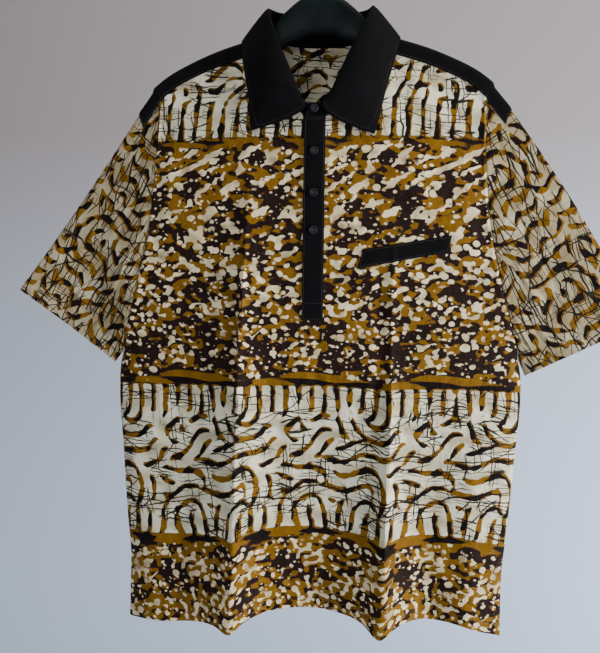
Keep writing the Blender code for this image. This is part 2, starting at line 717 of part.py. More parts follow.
def add_hanger(material):
    """The moulded hanger: oval sections along its length, joined to a round hook."""
    half = np.array(HANGER_SECTIONS["x"], float)
    x = np.concatenate([-half[:0:-1], half]) * MM

    def both(column):
        values = np.array(HANGER_SECTIONS[column], float)
        return np.concatenate([values[:0:-1], values]) * MM

    low, thick = both("low"), both("half_thick")
    neck = curve_through(HANGER_NECK, "x", "top", np.abs(x) / MM) * MM
    arms = top_z(x, FRONT_NECKLINE) - HANGER_CLEARANCE
    top = np.where(np.abs(x) < NECK_HALF_WIDTH, neck, arms)
    turn = np.arange(HANGER_SIDES) * math.tau / HANGER_SIDES
    rings = []
    for place, high, bottom, depth in zip(x, top, low, thick):
        middle = (high + bottom) / 2
        height = (high - bottom) / 2
        side = np.sign(np.cos(turn)) * np.abs(np.cos(turn)) ** 0.8 * depth
        rise = np.sign(np.sin(turn)) * np.abs(np.sin(turn)) ** 0.9 * height
        rings.append(np.stack([np.full(HANGER_SIDES, place), side, middle + rise], axis=1))
    points = np.concatenate(rings)
    faces = []
    for row in range(len(x) - 1):
        for column in range(HANGER_SIDES):
            after = (column + 1) % HANGER_SIDES
            first = row * HANGER_SIDES
            second = first + HANGER_SIDES
            faces.append([first + column, first + after, second + after, second + column])
    faces.append(list(range(HANGER_SIDES)))
    faces.append([second + column for column in reversed(range(HANGER_SIDES))])
    hanger = add_object("hanger", points, faces, material)
    hook = tube("hook_cutter", hook_path(), HOOK_ROD_RADIUS, 10, material)
    hook.hide_render = True
    hook.display_type = "WIRE"
    union = hanger.modifiers.new("hook", "BOOLEAN")
    union.operation = "UNION"
    union.solver = "EXACT"
    union.object = hook
    return hanger


def main():
    clear_scene()
    printed = make_material("printed cotton", PRINT_CREAM, 0.85)
    turned = make_material("printed cotton sleeves", PRINT_OCHRE, 0.85)
    black = make_material("black cotton", CLOTH_BLACK, 0.8)
    button = make_material("button resin", CLOTH_BLACK, 0.35)
    plastic = make_material("hanger plastic", HANGER_GREEN, 0.4)

    front = panel_points(
        FRONT_COLUMNS, FRONT_NECKLINE, FRONT_HEM, FRONT_HANG, FRONT_FOLDS, FRONT_NECK_DEPTH, True
    )
    back = panel_points(
        BACK_COLUMNS, BACK_NECKLINE, BACK_HEM, BACK_HANG, BACK_FOLDS, BACK_NECK_DEPTH, False
    )
    front_in = panel_inward(front, True)
    back_in = panel_inward(back, False)
    wall("front_panel", front, front_in, WALL, printed)
    wall("back_panel", back, back_in, WALL, printed)

    for name, size in SLEEVES.items():
        sleeve = sleeve_points(front, back, **size)
        side = size["side"]
        wall(name, sleeve, sleeve_inward(sleeve, front_in, back_in, side), WALL, turned, ring=True)
        strip = strip_points(front, back, sleeve, side)
        strip_wall(name.replace("sleeve", "shoulder_strip"), strip, side, black)

    stand_wall(front, back, black)
    leaf_wall(front, back, black)
    placket, outer = placket_wall(front, black)
    welt_wall(front, black)
    place_buttons(outer, button)
    stand_y = -FRONT_NECK_DEPTH - 2.6 * MM - WALL - BLACK_WALL - SEAM_GAP
    add_button("button_neck", (0, stand_y, NECK_BUTTON_Z), (0, -1, 0), button)
    add_hanger(plastic)


main()
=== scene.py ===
"""Looks of a printed short-sleeve shirt on its hanger, laid out as an add-on.

Each cloth piece is a fine two-sided shell on the same formulas as its solid, with listed creases
added. The print is a set of smooth fields, worked out once on a lattice that repeats across the
cloth, read at every point of the cloth and turned into crisp edges by the material. Metres, +Z up,
+X towards the wearer's left sleeve, -Y in front of the chest, origin inside the top of the hook.
"""

import functools
import math

import bmesh
import bpy
import numpy as np
from mathutils import Matrix, Vector


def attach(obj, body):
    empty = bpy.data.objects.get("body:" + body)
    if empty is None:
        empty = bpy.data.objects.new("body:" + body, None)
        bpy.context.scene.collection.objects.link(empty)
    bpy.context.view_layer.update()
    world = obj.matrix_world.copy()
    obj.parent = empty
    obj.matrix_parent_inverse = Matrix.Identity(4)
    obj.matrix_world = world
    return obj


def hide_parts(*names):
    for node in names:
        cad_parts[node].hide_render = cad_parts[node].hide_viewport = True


bl_info = {
    "name": "Printed shirt",
    "version": (1, 0, 0),
    "blender": (4, 5, 0),
    "location": "3D View > Sidebar > Shirt",
    "description": "Builds a printed short-sleeve shirt, its trims, its hanger and a plain studio",
    "category": "Object",
}

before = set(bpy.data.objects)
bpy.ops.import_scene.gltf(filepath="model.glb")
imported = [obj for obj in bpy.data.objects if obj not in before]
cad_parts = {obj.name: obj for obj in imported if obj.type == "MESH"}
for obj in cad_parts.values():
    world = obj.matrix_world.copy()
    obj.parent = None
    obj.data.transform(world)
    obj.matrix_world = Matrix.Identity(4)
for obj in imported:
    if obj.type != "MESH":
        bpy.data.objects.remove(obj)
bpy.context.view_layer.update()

MM = 0.001

# Thickness of the printed cloth and of a black piece, the room under a laid piece, and the room
# left at a seam
CLOTH = 0.8 * MM
TRIM = 1.3 * MM
LAY = 0.35 * MM
SEAM = 0.1 * MM

# Body, as in the solids
NECK_HALF_WIDTH = 78 * MM
SHOULDER_HALF_WIDTH = 220 * MM
PANEL_HALF_WIDTH = 214 * MM
FRONT_NECK_DEPTH = 42 * MM
BACK_NECK_DEPTH = 31 * MM
RIDGE_RADIUS = 9 * MM
NECK_SPREAD = 60 * MM
ARMPIT_SPREAD = 0.6
SIDE_ROLL = 30 * MM
ARMPIT_Z = -545 * MM
VENT_TOP_Z = -808 * MM
HEM_Z = -895 * MM
STRIP_START = 83 * MM

# How the free hang takes over below the top edge and lessens towards the sides, by what power the
# folds grow on their way down and how far past the hem, and how far the side vents stand open and
# over what height they open
HANG_START = 90 * MM
HANG_REACH = 240 * MM
HANG_LOSS = 0.6
FOLD_GROWTH = 1.15
PAST_HEM = 1.05
VENT_OPEN = 0.45
VENT_REACH = 60 * MM

# The sag at the shoulder points: its depth, how far it reaches along and down, and how steeply the
# shoulder and the sleeve fall away there
SHOULDER_SAG = 3.4 * MM
SHOULDER_SAG_REACH = 17 * MM
SHOULDER_SAG_DOWN = 60 * MM
SHOULDER_FALL = 0.65
SLEEVE_FALL = 1.5

# Broad waviness of the hung cloth
SLACK = 0.62 * MM

# Creases fade out towards the top edge, the sides and, most of them, the placket
CREASE_FREE_TOP = 6 * MM
CREASE_TOP_REACH = 30 * MM
CREASE_SIDE_REACH = 22 * MM
PLACKET_CALM_REACH = 17 * MM
PLACKET_CALM = 0.8

# Seams: depth and width of the dip, and height, place and width of the soft welt beside an armhole
SEAM_DIP = 0.6 * MM
SEAM_DIP_WIDTH = 1.5 * MM
ARM_WELT_HEIGHT = 1.1 * MM
ARM_WELT_PLACE = 3.2 * MM
ARM_WELT_WIDTH = 1.5 * MM

# Stitch lines above the hem and above the cuffs (mm)
HEM_STITCH = 12
CUFF_STITCH = 18

PLACKET_FOOT_Z = -502 * MM
WELT_CORNERS = ((62.5, -411.5), (172, -392.5), (169, -413.5), (55.5, -436))
BUTTON_RADIUS = 5.3 * MM
BUTTON_HEIGHTS = {"button_top": -289 * MM, "button_middle": -341 * MM, "button_low": -388 * MM}
NECK_BUTTON_Z = -237 * MM

SHOULDER_LINE = {
    "x": (0, 40, 78, 102, 145, 172, 196, 212, 220),
    "z": (-118, -123, -133, -140.6, -155, -167, -179.5, -189, -195),
}
FRONT_NECKLINE = {
    "x": (0, 13.5, 24, 36, 48, 60, 70, 78),
    "z": (-250, -246, -234, -212, -187, -163, -145, -133),
}
BACK_NECKLINE = {
    "x": (0, 32, 64, 78),
    "z": (-140, -138.5, -135, -133),
}
SIDE_LINE = {
    "z": (-900, -808, -773, -680, -590, -560, -545, -500, -469, -432, -400, -357, -310, -250, -215, -195),
    "x": (241, 243, 247, 255, 262, 260.5, 257.5, 247, 239, 230, 223, 217, 213.5, 212, 213, 220),
}
FRONT_HEM = {
    "x": (-245, -200, -150, -118, -98, -82, -52, 0, 40, 70, 93, 110, 150, 190, 214, 242),
    "z": (-896, -897, -895, -894, -900, -887, -875, -869, -873, -881, -896, -883, -876, -879, -886, -893),
}
BACK_HEM = {
    "x": (-245, -120, 0, 120, 245),
    "z": (-890, -872, -866, -872, -888),
}
FRONT_FOLDS = (
    {"x_top": -84, "x_hem": -98, "z_top": -290, "depth": 31, "width": 30},
    {"x_top": 99, "x_hem": 93, "z_top": -520, "depth": 27, "width": 29},
    {"x_top": 205, "x_hem": 200, "z_top": -600, "depth": 9, "width": 26},
    {"x_top": -180, "x_hem": -196, "z_top": -560, "depth": 7, "width": 30},
    {"x_top": 8, "x_hem": 12, "z_top": -520, "depth": -7, "width": 38},
    {"x_top": 146, "x_hem": 148, "z_top": -600, "depth": -7, "width": 22},
)
BACK_FOLDS = (
    {"x_top": -120, "x_hem": -136, "z_top": -330, "depth": 9, "width": 34},
    {"x_top": 20, "x_hem": 6, "z_top": -300, "depth": 11, "width": 40},
    {"x_top": 138, "x_hem": 150, "z_top": -360, "depth": 8, "width": 32},
    {"x_top": -58, "x_hem": -66, "z_top": -420, "depth": -5, "width": 30},
    {"x_top": 82, "x_hem": 84, "z_top": -420, "depth": -6, "width": 30},
)
FRONT_HANG = {"z": (-900, -700, -500, -260, -120), "depth": (20, 25, 34, 40, 40)}
BACK_HANG = {"z": (-900, -700, -500, -260, -120), "depth": (17, 18, 21, 27, 30)}

SLEEVES = {
    "sleeve_right": {"side": -1, "tip": (404, -466), "end": (268, -560), "swing": 12, "bow": -3},
    "sleeve_left": {"side": 1, "tip": (405, -498), "end": (266, -566), "swing": 3, "bow": 8},
}
SLEEVE_HALF_DEPTH = 11 * MM
SLEEVE_FULLNESS = 0.35

# Nominal length of a sleeve and distance round its front from the top to the underarm (mm)
SLEEVE_RUN = 300
SLEEVE_ROUND = 330

SLEEVE_RINGS = 122

# The share of a sleeve's length over which it turns from the armhole's depth to its own
SLEEVE_FLATTENING = 0.7

# How far a shoulder strip runs over the sleeve, as a share of the sleeve's length
STRIP_REACH = 0.125

COLLAR_FOLD = {
    "share": (0, 0.06, 0.12, 0.22, 0.33, 0.44, 0.535, 0.635, 0.74, 0.88, 1),
    "x": (0, 8, 15, 23.5, 34.5, 45.5, 55.5, 67, 58, 32, 0),
    "y": (-45, -46, -46.5, -46, -44, -41, -33, -9, 16, 31, 35),
    "z": (-229, -229, -226, -206.5, -181, -156.5, -132, -99, -96, -95, -95),
}
LEAF_BEND = {
    "share": (0.10, 0.22, 0.33, 0.44, 0.535, 0.635, 0.74, 0.88, 1),
    "x": (-4, 49, 60, 68, 74, 79.5, 70, 40, 0),
    "y": (-51, -54, -51, -45, -33, -7, 22, 38, 43),
    "z": (-245, -218, -192, -167, -143, -110, -108, -108, -108),
}
LEAF_EDGE = {
    "share": (0.10, 0.22, 0.33, 0.44, 0.535, 0.635, 0.74, 0.88, 1),
    "x": (77, 83, 88, 93, 98.5, 103.5, 87, 47, 0),
    "y": (-42, -38, -33, -28, -19, -2, 23, 38, 43),
    "z": (-263, -238, -213, -189.5, -166, -138, -141, -144, -146),
}

# The stand's rows, and the leaf. It starts at this share of the neck seam and rolls out over the
# stand by the first amount, and by the second one more near its points. Both points are moved
# towards the wearer's right and down, the wearer's-left one by the first of each pair. The edge has
# slight waves, given as their whole phase in radians.
STAND_ROWS = 15
LEAF_START = 0.10
LEAF_ROLL = 2.2 * MM
LEAF_FRONT_ROLL = 2.6 * MM
LEAF_POINT_REACH = 0.13
LEAF_WAVES = 34
LEAF_POINT_RIGHT = (2.0 * MM, 4.0 * MM)
LEAF_POINT_DOWN = (6.0 * MM, 0.0)

HANGER_SECTIONS = {
    "x": (0, 10, 18, 27, 36, 44, 58, 70, 80, 100, 130, 160, 190, 205, 212),
    "low": (-130, -131, -132, -136, -139, -143, -150, -156, -160, -166, -175, -185, -197, -203, -204.5),
    "half_thick": (7, 7, 7, 7, 7, 7, 6.8, 6.4, 6.2, 6.2, 6, 6, 5.8, 5.2, 4),
}
HANGER_NECK = {"x": (0, 10, 18, 44, 58, 70, 78), "top": (-80, -80, -81, -98.5, -113, -130, -138)}
HANGER_CLEARANCE = 2.75 * MM
HOOK_INSIDE_RADIUS = 17 * MM
HOOK_ROD_RADIUS = 4.2 * MM
HOOK_BEND_PACE = 22 * MM
ROD_SIDES = 28
ARM_SIDES = 40

# How far the neck button stands in front, and how far its holes lie from a button's middle (mm)
NECK_BUTTON_REACH = 47.6 * MM
BUTTON_HOLE_PLACE = 1.15
BUTTON_SIDES = 72

# Sides of a stitch's thread, and how far the stitch line lies inside a band, the welt, the stand
# and the leaf
THREAD_SIDES = 6
BAND_STITCH = 2.6 * MM
WELT_STITCH = 3 * MM
STAND_STITCH = 2.5 * MM
LEAF_STITCH = 5 * MM

# Camera, as it stood for the photo
CAMERA_PLACE = (0.146846, -1.188322, -0.506389)
CAMERA_RIGHT = (0.990108, 0.139173, 0.017824)
CAMERA_UP = (-0.017999, 0.0, 0.999838)
CAMERA_FORWARD = (-0.139151, 0.990268, -0.002505)
CAMERA_LENS = 50.889

# Stage: the floor's height, the wall's distance and the curve between them
BACKDROP_FLOOR_Z = -1.75
BACKDROP_WALL_Y = 2.6
BACKDROP_RADIUS = 1.2

# Lamps: name, place, target, width and height, power in watts and colour
SHIRT_MIDDLE = (0, 0, -0.45)
LAMPS = (
    ("key", (4.2, -1.35, -0.8), SHIRT_MIDDLE, (1.1, 1.7), 352, (1.0, 0.985, 0.955)),
    ("front", (-0.6, -2.6, 0.0), SHIRT_MIDDLE, (2.0, 1.6), 16, (1.0, 1.0, 1.0)),
    ("fill", (-2.2, -1.6, -0.2), SHIRT_MIDDLE, (1.8, 2.2), 8, (0.93, 0.95, 1.0)),
    ("top", (0.1, -0.8, 1.8), SHIRT_MIDDLE, (1.4, 1.0), 14, (1, 1, 1)),
    ("wall", (0.4, 0.9, 1.9), (0.2, 2.5, -0.6), (3.0, 0.6), 12, (1, 0.98, 0.96)),
    ("low wall", (1.9, 0.9, -1.2), (1.1, 2.5, -1.1), (0.8, 1.2), 38, (0.72, 0.86, 1)),
    ("behind", (-0.3, 1.3, -0.2), SHIRT_MIDDLE, (1.6, 1.2), 7, (1, 1, 1)),
)
SKY_COLOUR = (0.93, 0.94, 1.0, 1)
SKY_STRENGTH = 0.20

# Fine grids. The half columns (mm, at the shoulder's scale) cross the placket to 13.5, go on to the
# neck point at 78 and to 190, and close up towards the side at 214. The first rows lie so many mm
# under the top edge, and the others follow down to the armpit and on to the hem. The collar
# stand's lap is as wide as the placket and eases off over a few columns more.
LAP_COLUMNS = 5
LAP_EASE = 8
NECK_COLUMNS = 30
HALF_COLUMNS = np.concatenate(
    [
        np.linspace(0, 13.5, LAP_COLUMNS + 1),
        np.linspace(13.5, 78, NECK_COLUMNS - LAP_COLUMNS + 1)[1:],
        np.linspace(78, 190, 44)[1:],
        190 + 24 * (1 - (1 - np.linspace(0, 1, 13)[1:]) ** 1.8),
    ]
)
COLUMN_SHARES = np.concatenate([-HALF_COLUMNS[:0:-1], HALF_COLUMNS]) / HALF_COLUMNS[-1]
TOP_ROWS = np.array((0, 0.5, 1.2, 2.2, 3.4, 4.8, 6.4, 8.2, 10.3, 12.7, 15.5, 18.6, 22))
STRIP_ROW = len(TOP_ROWS) - 1
ARM_STEPS = 112
LOW_STEPS = 122
ARMPIT_ROW = STRIP_ROW + ARM_STEPS

# Length of cloth from the armpit to the hem
LOW_CLOTH = 340 * MM

# Creases, given in the order x and z at the start, x and z at the end, half width,
# height outwards (all mm) and how far the middle bows sideways
FRONT_CREASES = (
    (-82, -300, -97, -893, 4, 5.6, 3),
    (-97, -320, -113, -890, 9, -6.5, -2),
    (-62, -380, -74, -880, 14, -2.4, 4),
    (100, -400, 94, -893, 4, 5.6, -2),
    (85, -420, 79, -890, 9, -6.2, -3),
    (120, -520, 114, -880, 13, -2.4, 3),
    (-196, -226, -226, -500, 9, -2.4, 10),
    (-176, -232, -196, -430, 11, 1.8, 8),
    (196, -226, 222, -470, 9, -2.2, -9),
    (172, -240, 190, -400, 12, 1.6, -7),
    (-84, -270, -180, -452, 13, 2.0, -8),
    (-100, -262, -132, -420, 9, -1.8, -6),
    (86, -278, 168, -386, 12, 1.5, 6),
    (-246, -556, -150, -628, 9, -2.4, -7),
    (-244, -580, -176, -700, 10, 1.9, 6),
    (246, -560, 156, -640, 9, -2.3, 8),
    (244, -590, 184, -716, 11, 1.8, -6),
    (-236, -690, -140, -664, 8, -1.3, 5),
    (236, -700, 150, -682, 8, -1.4, -5),
    (-16, -322, -56, -352, 6, -1.2, 3),
    (16, -372, 52, -392, 6, -1.1, -3),
    (-16, -440, -60, -470, 7, -1.3, 4),
    (16, -470, 60, -498, 7, -1.2, -4),
    (6, -512, 14, -660, 10, -1.9, 3),
    (-34, -540, -30, -800, 14, 1.5, -5),
    (46, -560, 52, -820, 13, 1.4, 5),
    (-160, -720, -156, -884, 9, -1.7, 3),
    (-206, -740, -212, -886, 8, 1.4, -3),
    (168, -730, 172, -868, 9, 1.5, 3),
    (212, -720, 218, -878, 8, -1.4, -3),
    (-20, -800, -26, -866, 7, -1.4, 2),
    (28, -790, 36, -868, 7, 1.2, 2),
    (66, -442, 96, -520, 8, -1.2, 4),
    (160, -420, 140, -500, 8, 1.1, -4),
)
BACK_CREASES = (
    (-20, -150, -60, -330, 14, -1.6, 8),
    (24, -152, 74, -340, 14, 1.7, -8),
    (-150, -200, -112, -420, 12, 2.0, 9),
    (152, -204, 120, -430, 12, -2.0, -9),
    (-208, -240, -228, -510, 9, -2.2, 8),
    (208, -240, 228, -510, 9, 2.0, -8),
    (-244, -560, -130, -640, 10, -2.4, 8),
    (244, -566, 128, -650, 10, -2.2, -8),
    (-130, -360, -140, -860, 9, 2.4, 4),
    (-112, -420, -108, -850, 10, -2.2, -4),
    (10, -320, 8, -856, 10, 2.2, 5),
    (34, -380, 30, -850, 11, -2.0, -4),
    (142, -380, 152, -860, 9, 2.2, -4),
    (120, -460, 118, -846, 10, -2.0, 4),
    (-210, -600, -214, -870, 9, 1.5, -3),
    (212, -620, 216, -868, 9, -1.5, 3),
    (-60, -520, -58, -840, 12, 1.4, 4),
    (84, -540, 88, -850, 12, 1.4, -4),
)

# Creases of a sleeve: shares of its length and of the way round from the top to the underarm, at
# the start and at the end, half width and height (mm)
SLEEVE_CREASES = (
    (0.02, 0.30, 0.80, 0.42, 8, -2.0),
    (0.02, 0.46, 0.66, 0.62, 8, 1.7),
    (0.02, 0.62, 0.60, 0.74, 7, -2.0),
    (0.03, 0.78, 0.75, 0.86, 6, 1.6),
    (0.20, 0.16, 0.96, 0.22, 9, 1.5),
    (0.30, 0.52, 0.98, 0.50, 10, -1.7),
    (0.45, 0.70, 0.99, 0.66, 8, 1.5),
    (0.04, 0.12, 0.34, 0.26, 7, -1.4),
)


def curve_through(rows, along, value, at):
    """A smooth curve through a table's rows: cubic pieces whose slopes come from each row's two
    neighbours, kept flat where the rows turn back so that it never overshoots them."""
    known = np.asarray(rows[along], float)
    height = np.asarray(rows[value], float)
    step = np.diff(known)
    rise = np.diff(height) / step
    middle = (rise[:-1] * step[1:] + rise[1:] * step[:-1]) / (step[1:] + step[:-1])
    slope = np.concatenate([rise[:1], middle, rise[-1:]])
    before = np.insert(rise, 0, rise[0])
    after = np.append(rise, rise[-1])
    low = np.minimum(np.abs(before), np.abs(after))
    slope = np.where(before * after < 0, 0, np.clip(slope, -3 * low, 3 * low))
    at = np.clip(np.asarray(at, float), known[0], known[-1])
    piece = np.clip(np.searchsorted(known, at, side="right") - 1, 0, len(step) - 1)
    share = (at - known[piece]) / step[piece]
    start = (1 + 2 * share) * (1 - share) ** 2 * height[piece]
    end = share**2 * (3 - 2 * share) * height[piece + 1]
    lean = share * (1 - share) ** 2 * slope[piece] - share**2 * (1 - share) * slope[piece + 1]
    return start + end + lean * step[piece]


def smooth_step(share):
    """0 below 0, 1 above 1, and an even S between."""
    share = np.clip(share, 0, 1)
    return share * share * (3 - 2 * share)


def bell(value):
    """1 at 0, falling away evenly on both sides."""
    return np.exp(-(value**2))


def unit(vectors):
    """The same directions at length 1."""
    return vectors / (np.linalg.norm(vectors, axis=-1, keepdims=True) + 1e-12)


def ring_quads(rows, columns):
    """The faces between each ring of a grid and the next, closed round."""
    index = np.arange(rows * columns).reshape(rows, columns)
    after = np.roll(index, -1, axis=1)
    return np.stack([index[:-1], after[:-1], after[1:], index[1:]], axis=-1).reshape(-1, 4)


def side_x(z):
    """Half width of the panels at a height."""
    return curve_through(SIDE_LINE, "z", "x", z / MM) * MM


def panel_x(u, z):
    """Where the column u (-1 to 1) of a panel runs at a height: only the sides flare."""
    return u * PANEL_HALF_WIDTH + (side_x(z) - PANEL_HALF_WIDTH) * u**3


def top_z(x, neckline):
    """Height of a panel's top edge: its neckline inside the neck point, the shoulder line beyond."""
    reach = np.abs(x) / MM
    neck = curve_through(neckline, "x", "z", reach)
    shoulder = curve_through(SHOULDER_LINE, "x", "z", reach)
    return np.where(reach < NECK_HALF_WIDTH / MM, neck, shoulder) * MM


def fold_height(folds, x, z):
    """Sum of the folds: bell-shaped ridges or valleys that grow from nothing down to the hem."""
    total = np.zeros_like(x)
    for fold in folds:
        top = fold["z_top"] * MM
        run = np.clip((top - z) / (top - HEM_Z), 0, PAST_HEM)
        centre = (fold["x_top"] + (fold["x_hem"] - fold["x_top"]) * run) * MM
        ridge = bell((x - centre) / (fold["width"] * MM))
        total += fold["depth"] * MM * ridge * run**FOLD_GROWTH
    return total


def panel_depth(x, z, below, hang, folds, neck_depth):
    """Distance of a panel from the middle plane, as in the solids: the neck's ellipse and the roll
    over the hanger at the top, the free hang with its folds below, the roll in at the sides."""
    across = np.clip(np.abs(x) / (NECK_HALF_WIDTH + 0.5 * below), 0, 1)
    neck = neck_depth * (1 - across**2) ** (0.5 + smooth_step(below / NECK_SPREAD))
    roll = RIDGE_RADIUS * np.sqrt(1 - (1 - np.clip(below / RIDGE_RADIUS, 0, 1)) ** 2)
    edge = neck + (1 - neck / neck_depth) * roll
    centre = curve_through(hang, "z", "depth", z / MM) * MM
    free = centre * (1 - HANG_LOSS * (np.abs(x) / HANG_REACH) ** 2) + fold_height(folds, x, z)
    blend = 1 - bell(below / HANG_START)
    depth = edge * (1 - blend) + free * blend
    reach = side_x(np.minimum(z, ARMPIT_Z)) + ARMPIT_SPREAD * np.maximum(z - ARMPIT_Z, 0)
    inset = np.clip((reach - np.abs(x)) / SIDE_ROLL, 0, 1)
    close = np.sqrt(1 - (1 - inset) ** 2)
    vent = smooth_step((VENT_TOP_Z - z) / VENT_REACH)
    return depth * (close + (1 - close) * VENT_OPEN * vent)


def line_crease(x, z, crease):
    """A soft ridge or trough along a bowed line: a bell across it that widens along its way, fades at
    both ends and is made uneven by two waves, of which the second is the shorter."""
    x0, z0, x1, z1, width, height, bow = [value * MM for value in crease]
    run = np.array([x1 - x0, z1 - z0])
    length = np.linalg.norm(run)
    share = ((x - x0) * run[0] + (z - z0) * run[1]) / length**2
    aside = ((x - x0) * run[1] - (z - z0) * run[0]) / length
    inside = np.clip(share, 0, 1)
    aside = aside - bow * np.sin(np.pi * inside)
    fade = np.sin(np.pi * inside) ** 0.7 * (np.abs(share - 0.5) < 0.5)
    uneven = 1 + 0.3 * np.sin(9 * inside + 400 * x0) + 0.2 * np.sin(21 * inside + 900 * z0)
    spread = width * (0.75 + 0.5 * inside)
    return height * uneven * fade * bell(aside / spread)


def slack(x, z, seed):
    """Broad, shallow waviness of hung cloth: crossing swells 85 to 130 mm long, bent by slow ones."""
    swell = 0.55 * np.sin(x / 0.0145 + 2.1 * np.sin(z / 0.09 + seed) + seed)
    swell += 0.5 * np.sin(z / 0.021 + 1.7 * np.sin(x / 0.034 + 2 * seed))
    swell += 0.6 * np.sin((x + 0.7 * z) / 0.017 + 1.3 * seed)
    return swell * SLACK


def outward_normals(points, away):
    """Unit normals of a grid of points, all on the side that mostly faces along away."""
    down = np.gradient(points, axis=0)
    over = np.gradient(points, axis=1)
    normal = unit(np.cross(down, over))
    return normal * (1 if (normal * away).sum() > 0 else -1)


def across_cloth(x, z, folds):
    """Distance across the cloth from its middle: x itself, and what the folds take up between. That
    is added up over a map of the folds, with points 2 mm apart across and 10 mm down."""
    over = np.linspace(-250, 250, 251) * MM
    down = np.linspace(-905, -105, 81) * MM
    slope = np.gradient(fold_height(folds, *np.meshgrid(over, down)), over, axis=1)
    taken_up = np.cumsum((np.sqrt(1 + slope**2) - 1) * (over[1] - over[0]), axis=1)
    taken_up -= taken_up[:, len(over) // 2, None]
    row = (z - down[0]) / (down[1] - down[0])
    column = (x - over[0]) / (over[1] - over[0])
    return x + grid_at(taken_up[..., None], row, column)[..., 0]


def soft_shoulder(points):
    """Lets the cloth sag a little at the shoulder points, where the panels meet the sleeves, so
    that the line over them turns gradually. It fades below that line, and along it both ways."""
    reach = np.abs(points[..., 0]) - SHOULDER_HALF_WIDTH
    line = SHOULDER_LINE["z"][-1] * MM
    line = line - np.maximum(reach, 0) * SLEEVE_FALL - np.minimum(reach, 0) * SHOULDER_FALL
    along = bell(reach / SHOULDER_SAG_REACH)
    down = bell((line - points[..., 2]) / SHOULDER_SAG_DOWN)
    points = points.copy()
    points[..., 2] -= SHOULDER_SAG * along * down
    return points


def turned_hem(to_edge, stitch):
    """Height of a turned hem (both lengths in mm): a step of 0.45 mm where the hidden edge lies, just
    above the stitches, and a groove of 0.35 mm along them."""
    step = smooth_step((stitch + 1 - to_edge) / 1.2)
    groove = bell((to_edge - stitch) / 1.1)
    return 0.45 * MM * step - 0.35 * MM * groove


def panel_grid(neckline, hem, hang, folds, neck_depth, creases, front):
    """A panel's outer points, with creases, seams and hem, and its cloth coordinates: u is the
    distance across the cloth from the middle, with what the rolled sides add, v the distance below
    the hook that each weft thread would have if it hung level."""
    u = COLUMN_SHARES
    top = top_z(u * SHOULDER_HALF_WIDTH, neckline)
    under = top - TOP_ROWS[-1] * MM
    bottom = curve_through(hem, "x", "z", panel_x(u, HEM_Z) / MM) * MM
    arm_share = (np.arange(ARM_STEPS) + 1) / ARM_STEPS
    low_share = (np.arange(LOW_STEPS) + 1) / LOW_STEPS
    z = np.concatenate(
        [
            top - TOP_ROWS[:, None] * MM,
            under + (ARMPIT_Z - under) * arm_share[:, None],
            ARMPIT_Z + (bottom - ARMPIT_Z) * low_share[:, None],
        ]
    )
    x = panel_x(u, z)
    below = top - z
    depth = np.maximum(panel_depth(x, z, below, hang, folds, neck_depth), SEAM / 2)
    sign = -1 if front else 1
    points = np.stack([x, sign * depth, z], axis=-1)
    from_edge = (1 - np.abs(u)) * PANEL_HALF_WIDTH
    step = np.diff(points, axis=1)
    gained = (np.hypot(step[..., 0], step[..., 1]) - np.abs(step[..., 0])) * (from_edge[1:] < SIDE_ROLL)
    gained = np.concatenate([np.zeros((len(z), 1)), np.cumsum(gained, axis=1)], axis=1)
    across = across_cloth(x, z, folds) + gained - gained[:, len(u) // 2, None]
    low_level = -ARMPIT_Z + LOW_CLOTH * low_share[:, None]
    level = np.concatenate([-z[: ARMPIT_ROW + 1], np.repeat(low_level, len(u), 1)])
    calm = smooth_step((below - CREASE_FREE_TOP) / CREASE_TOP_REACH)
    calm = calm * smooth_step(from_edge / CREASE_SIDE_REACH)
    on_placket = np.exp(-((np.abs(x) / PLACKET_CALM_REACH) ** 4)) * (z > PLACKET_FOOT_Z) * front
    calm = calm * (1 - on_placket * PLACKET_CALM)
    height = sum(line_crease(x, z, crease) for crease in creases) + slack(x, z, 1.0 if front else 2.4)
    height = height * calm
    seam_dip = SEAM_DIP * bell(from_edge / SEAM_DIP_WIDTH)
    above_armpit = smooth_step((z - ARMPIT_Z) / (30 * MM)) * smooth_step((below - 8 * MM) / (20 * MM))
    arm_welt = bell((from_edge - ARM_WELT_PLACE) / ARM_WELT_WIDTH)
    height = height + ARM_WELT_HEIGHT * arm_welt * above_armpit
    normal = outward_normals(points, np.array([0, sign, 0]))
    hem_turn = turned_hem((z - bottom) / MM, HEM_STITCH)
    points = points + normal * (height - seam_dip + hem_turn)[..., None]
    return soft_shoulder(points), np.stack([across, level], axis=-1)


# Print: the spacing of its lattice, the rows and columns of the two lattices, of which 110 columns
# make a repeat of 165 mm, and the distances below the hook where its bands end
LATTICE = 1.5 * MM
BODY_CELLS = (640, 110)
SLEEVE_CELLS = (176, 110)
SHOULDER_BAND_END = 270 * MM
CHEST_BAND_END = 586 * MM
WAIST_BAND_END = 776 * MM
PRINT_SEED = 41
SLEEVE_SEED = 7

# Brushed strokes: distance from one to the next, how little of the cloth they cover, how many times
# their waves are steepened, and how much of them is inked on the body and on the sleeves
STROKE_PITCH = 18 * MM
STROKE_LEVEL = 0.38
STROKE_PASSES = 14
BODY_INK = 0.20
SLEEVE_INK = 0.24

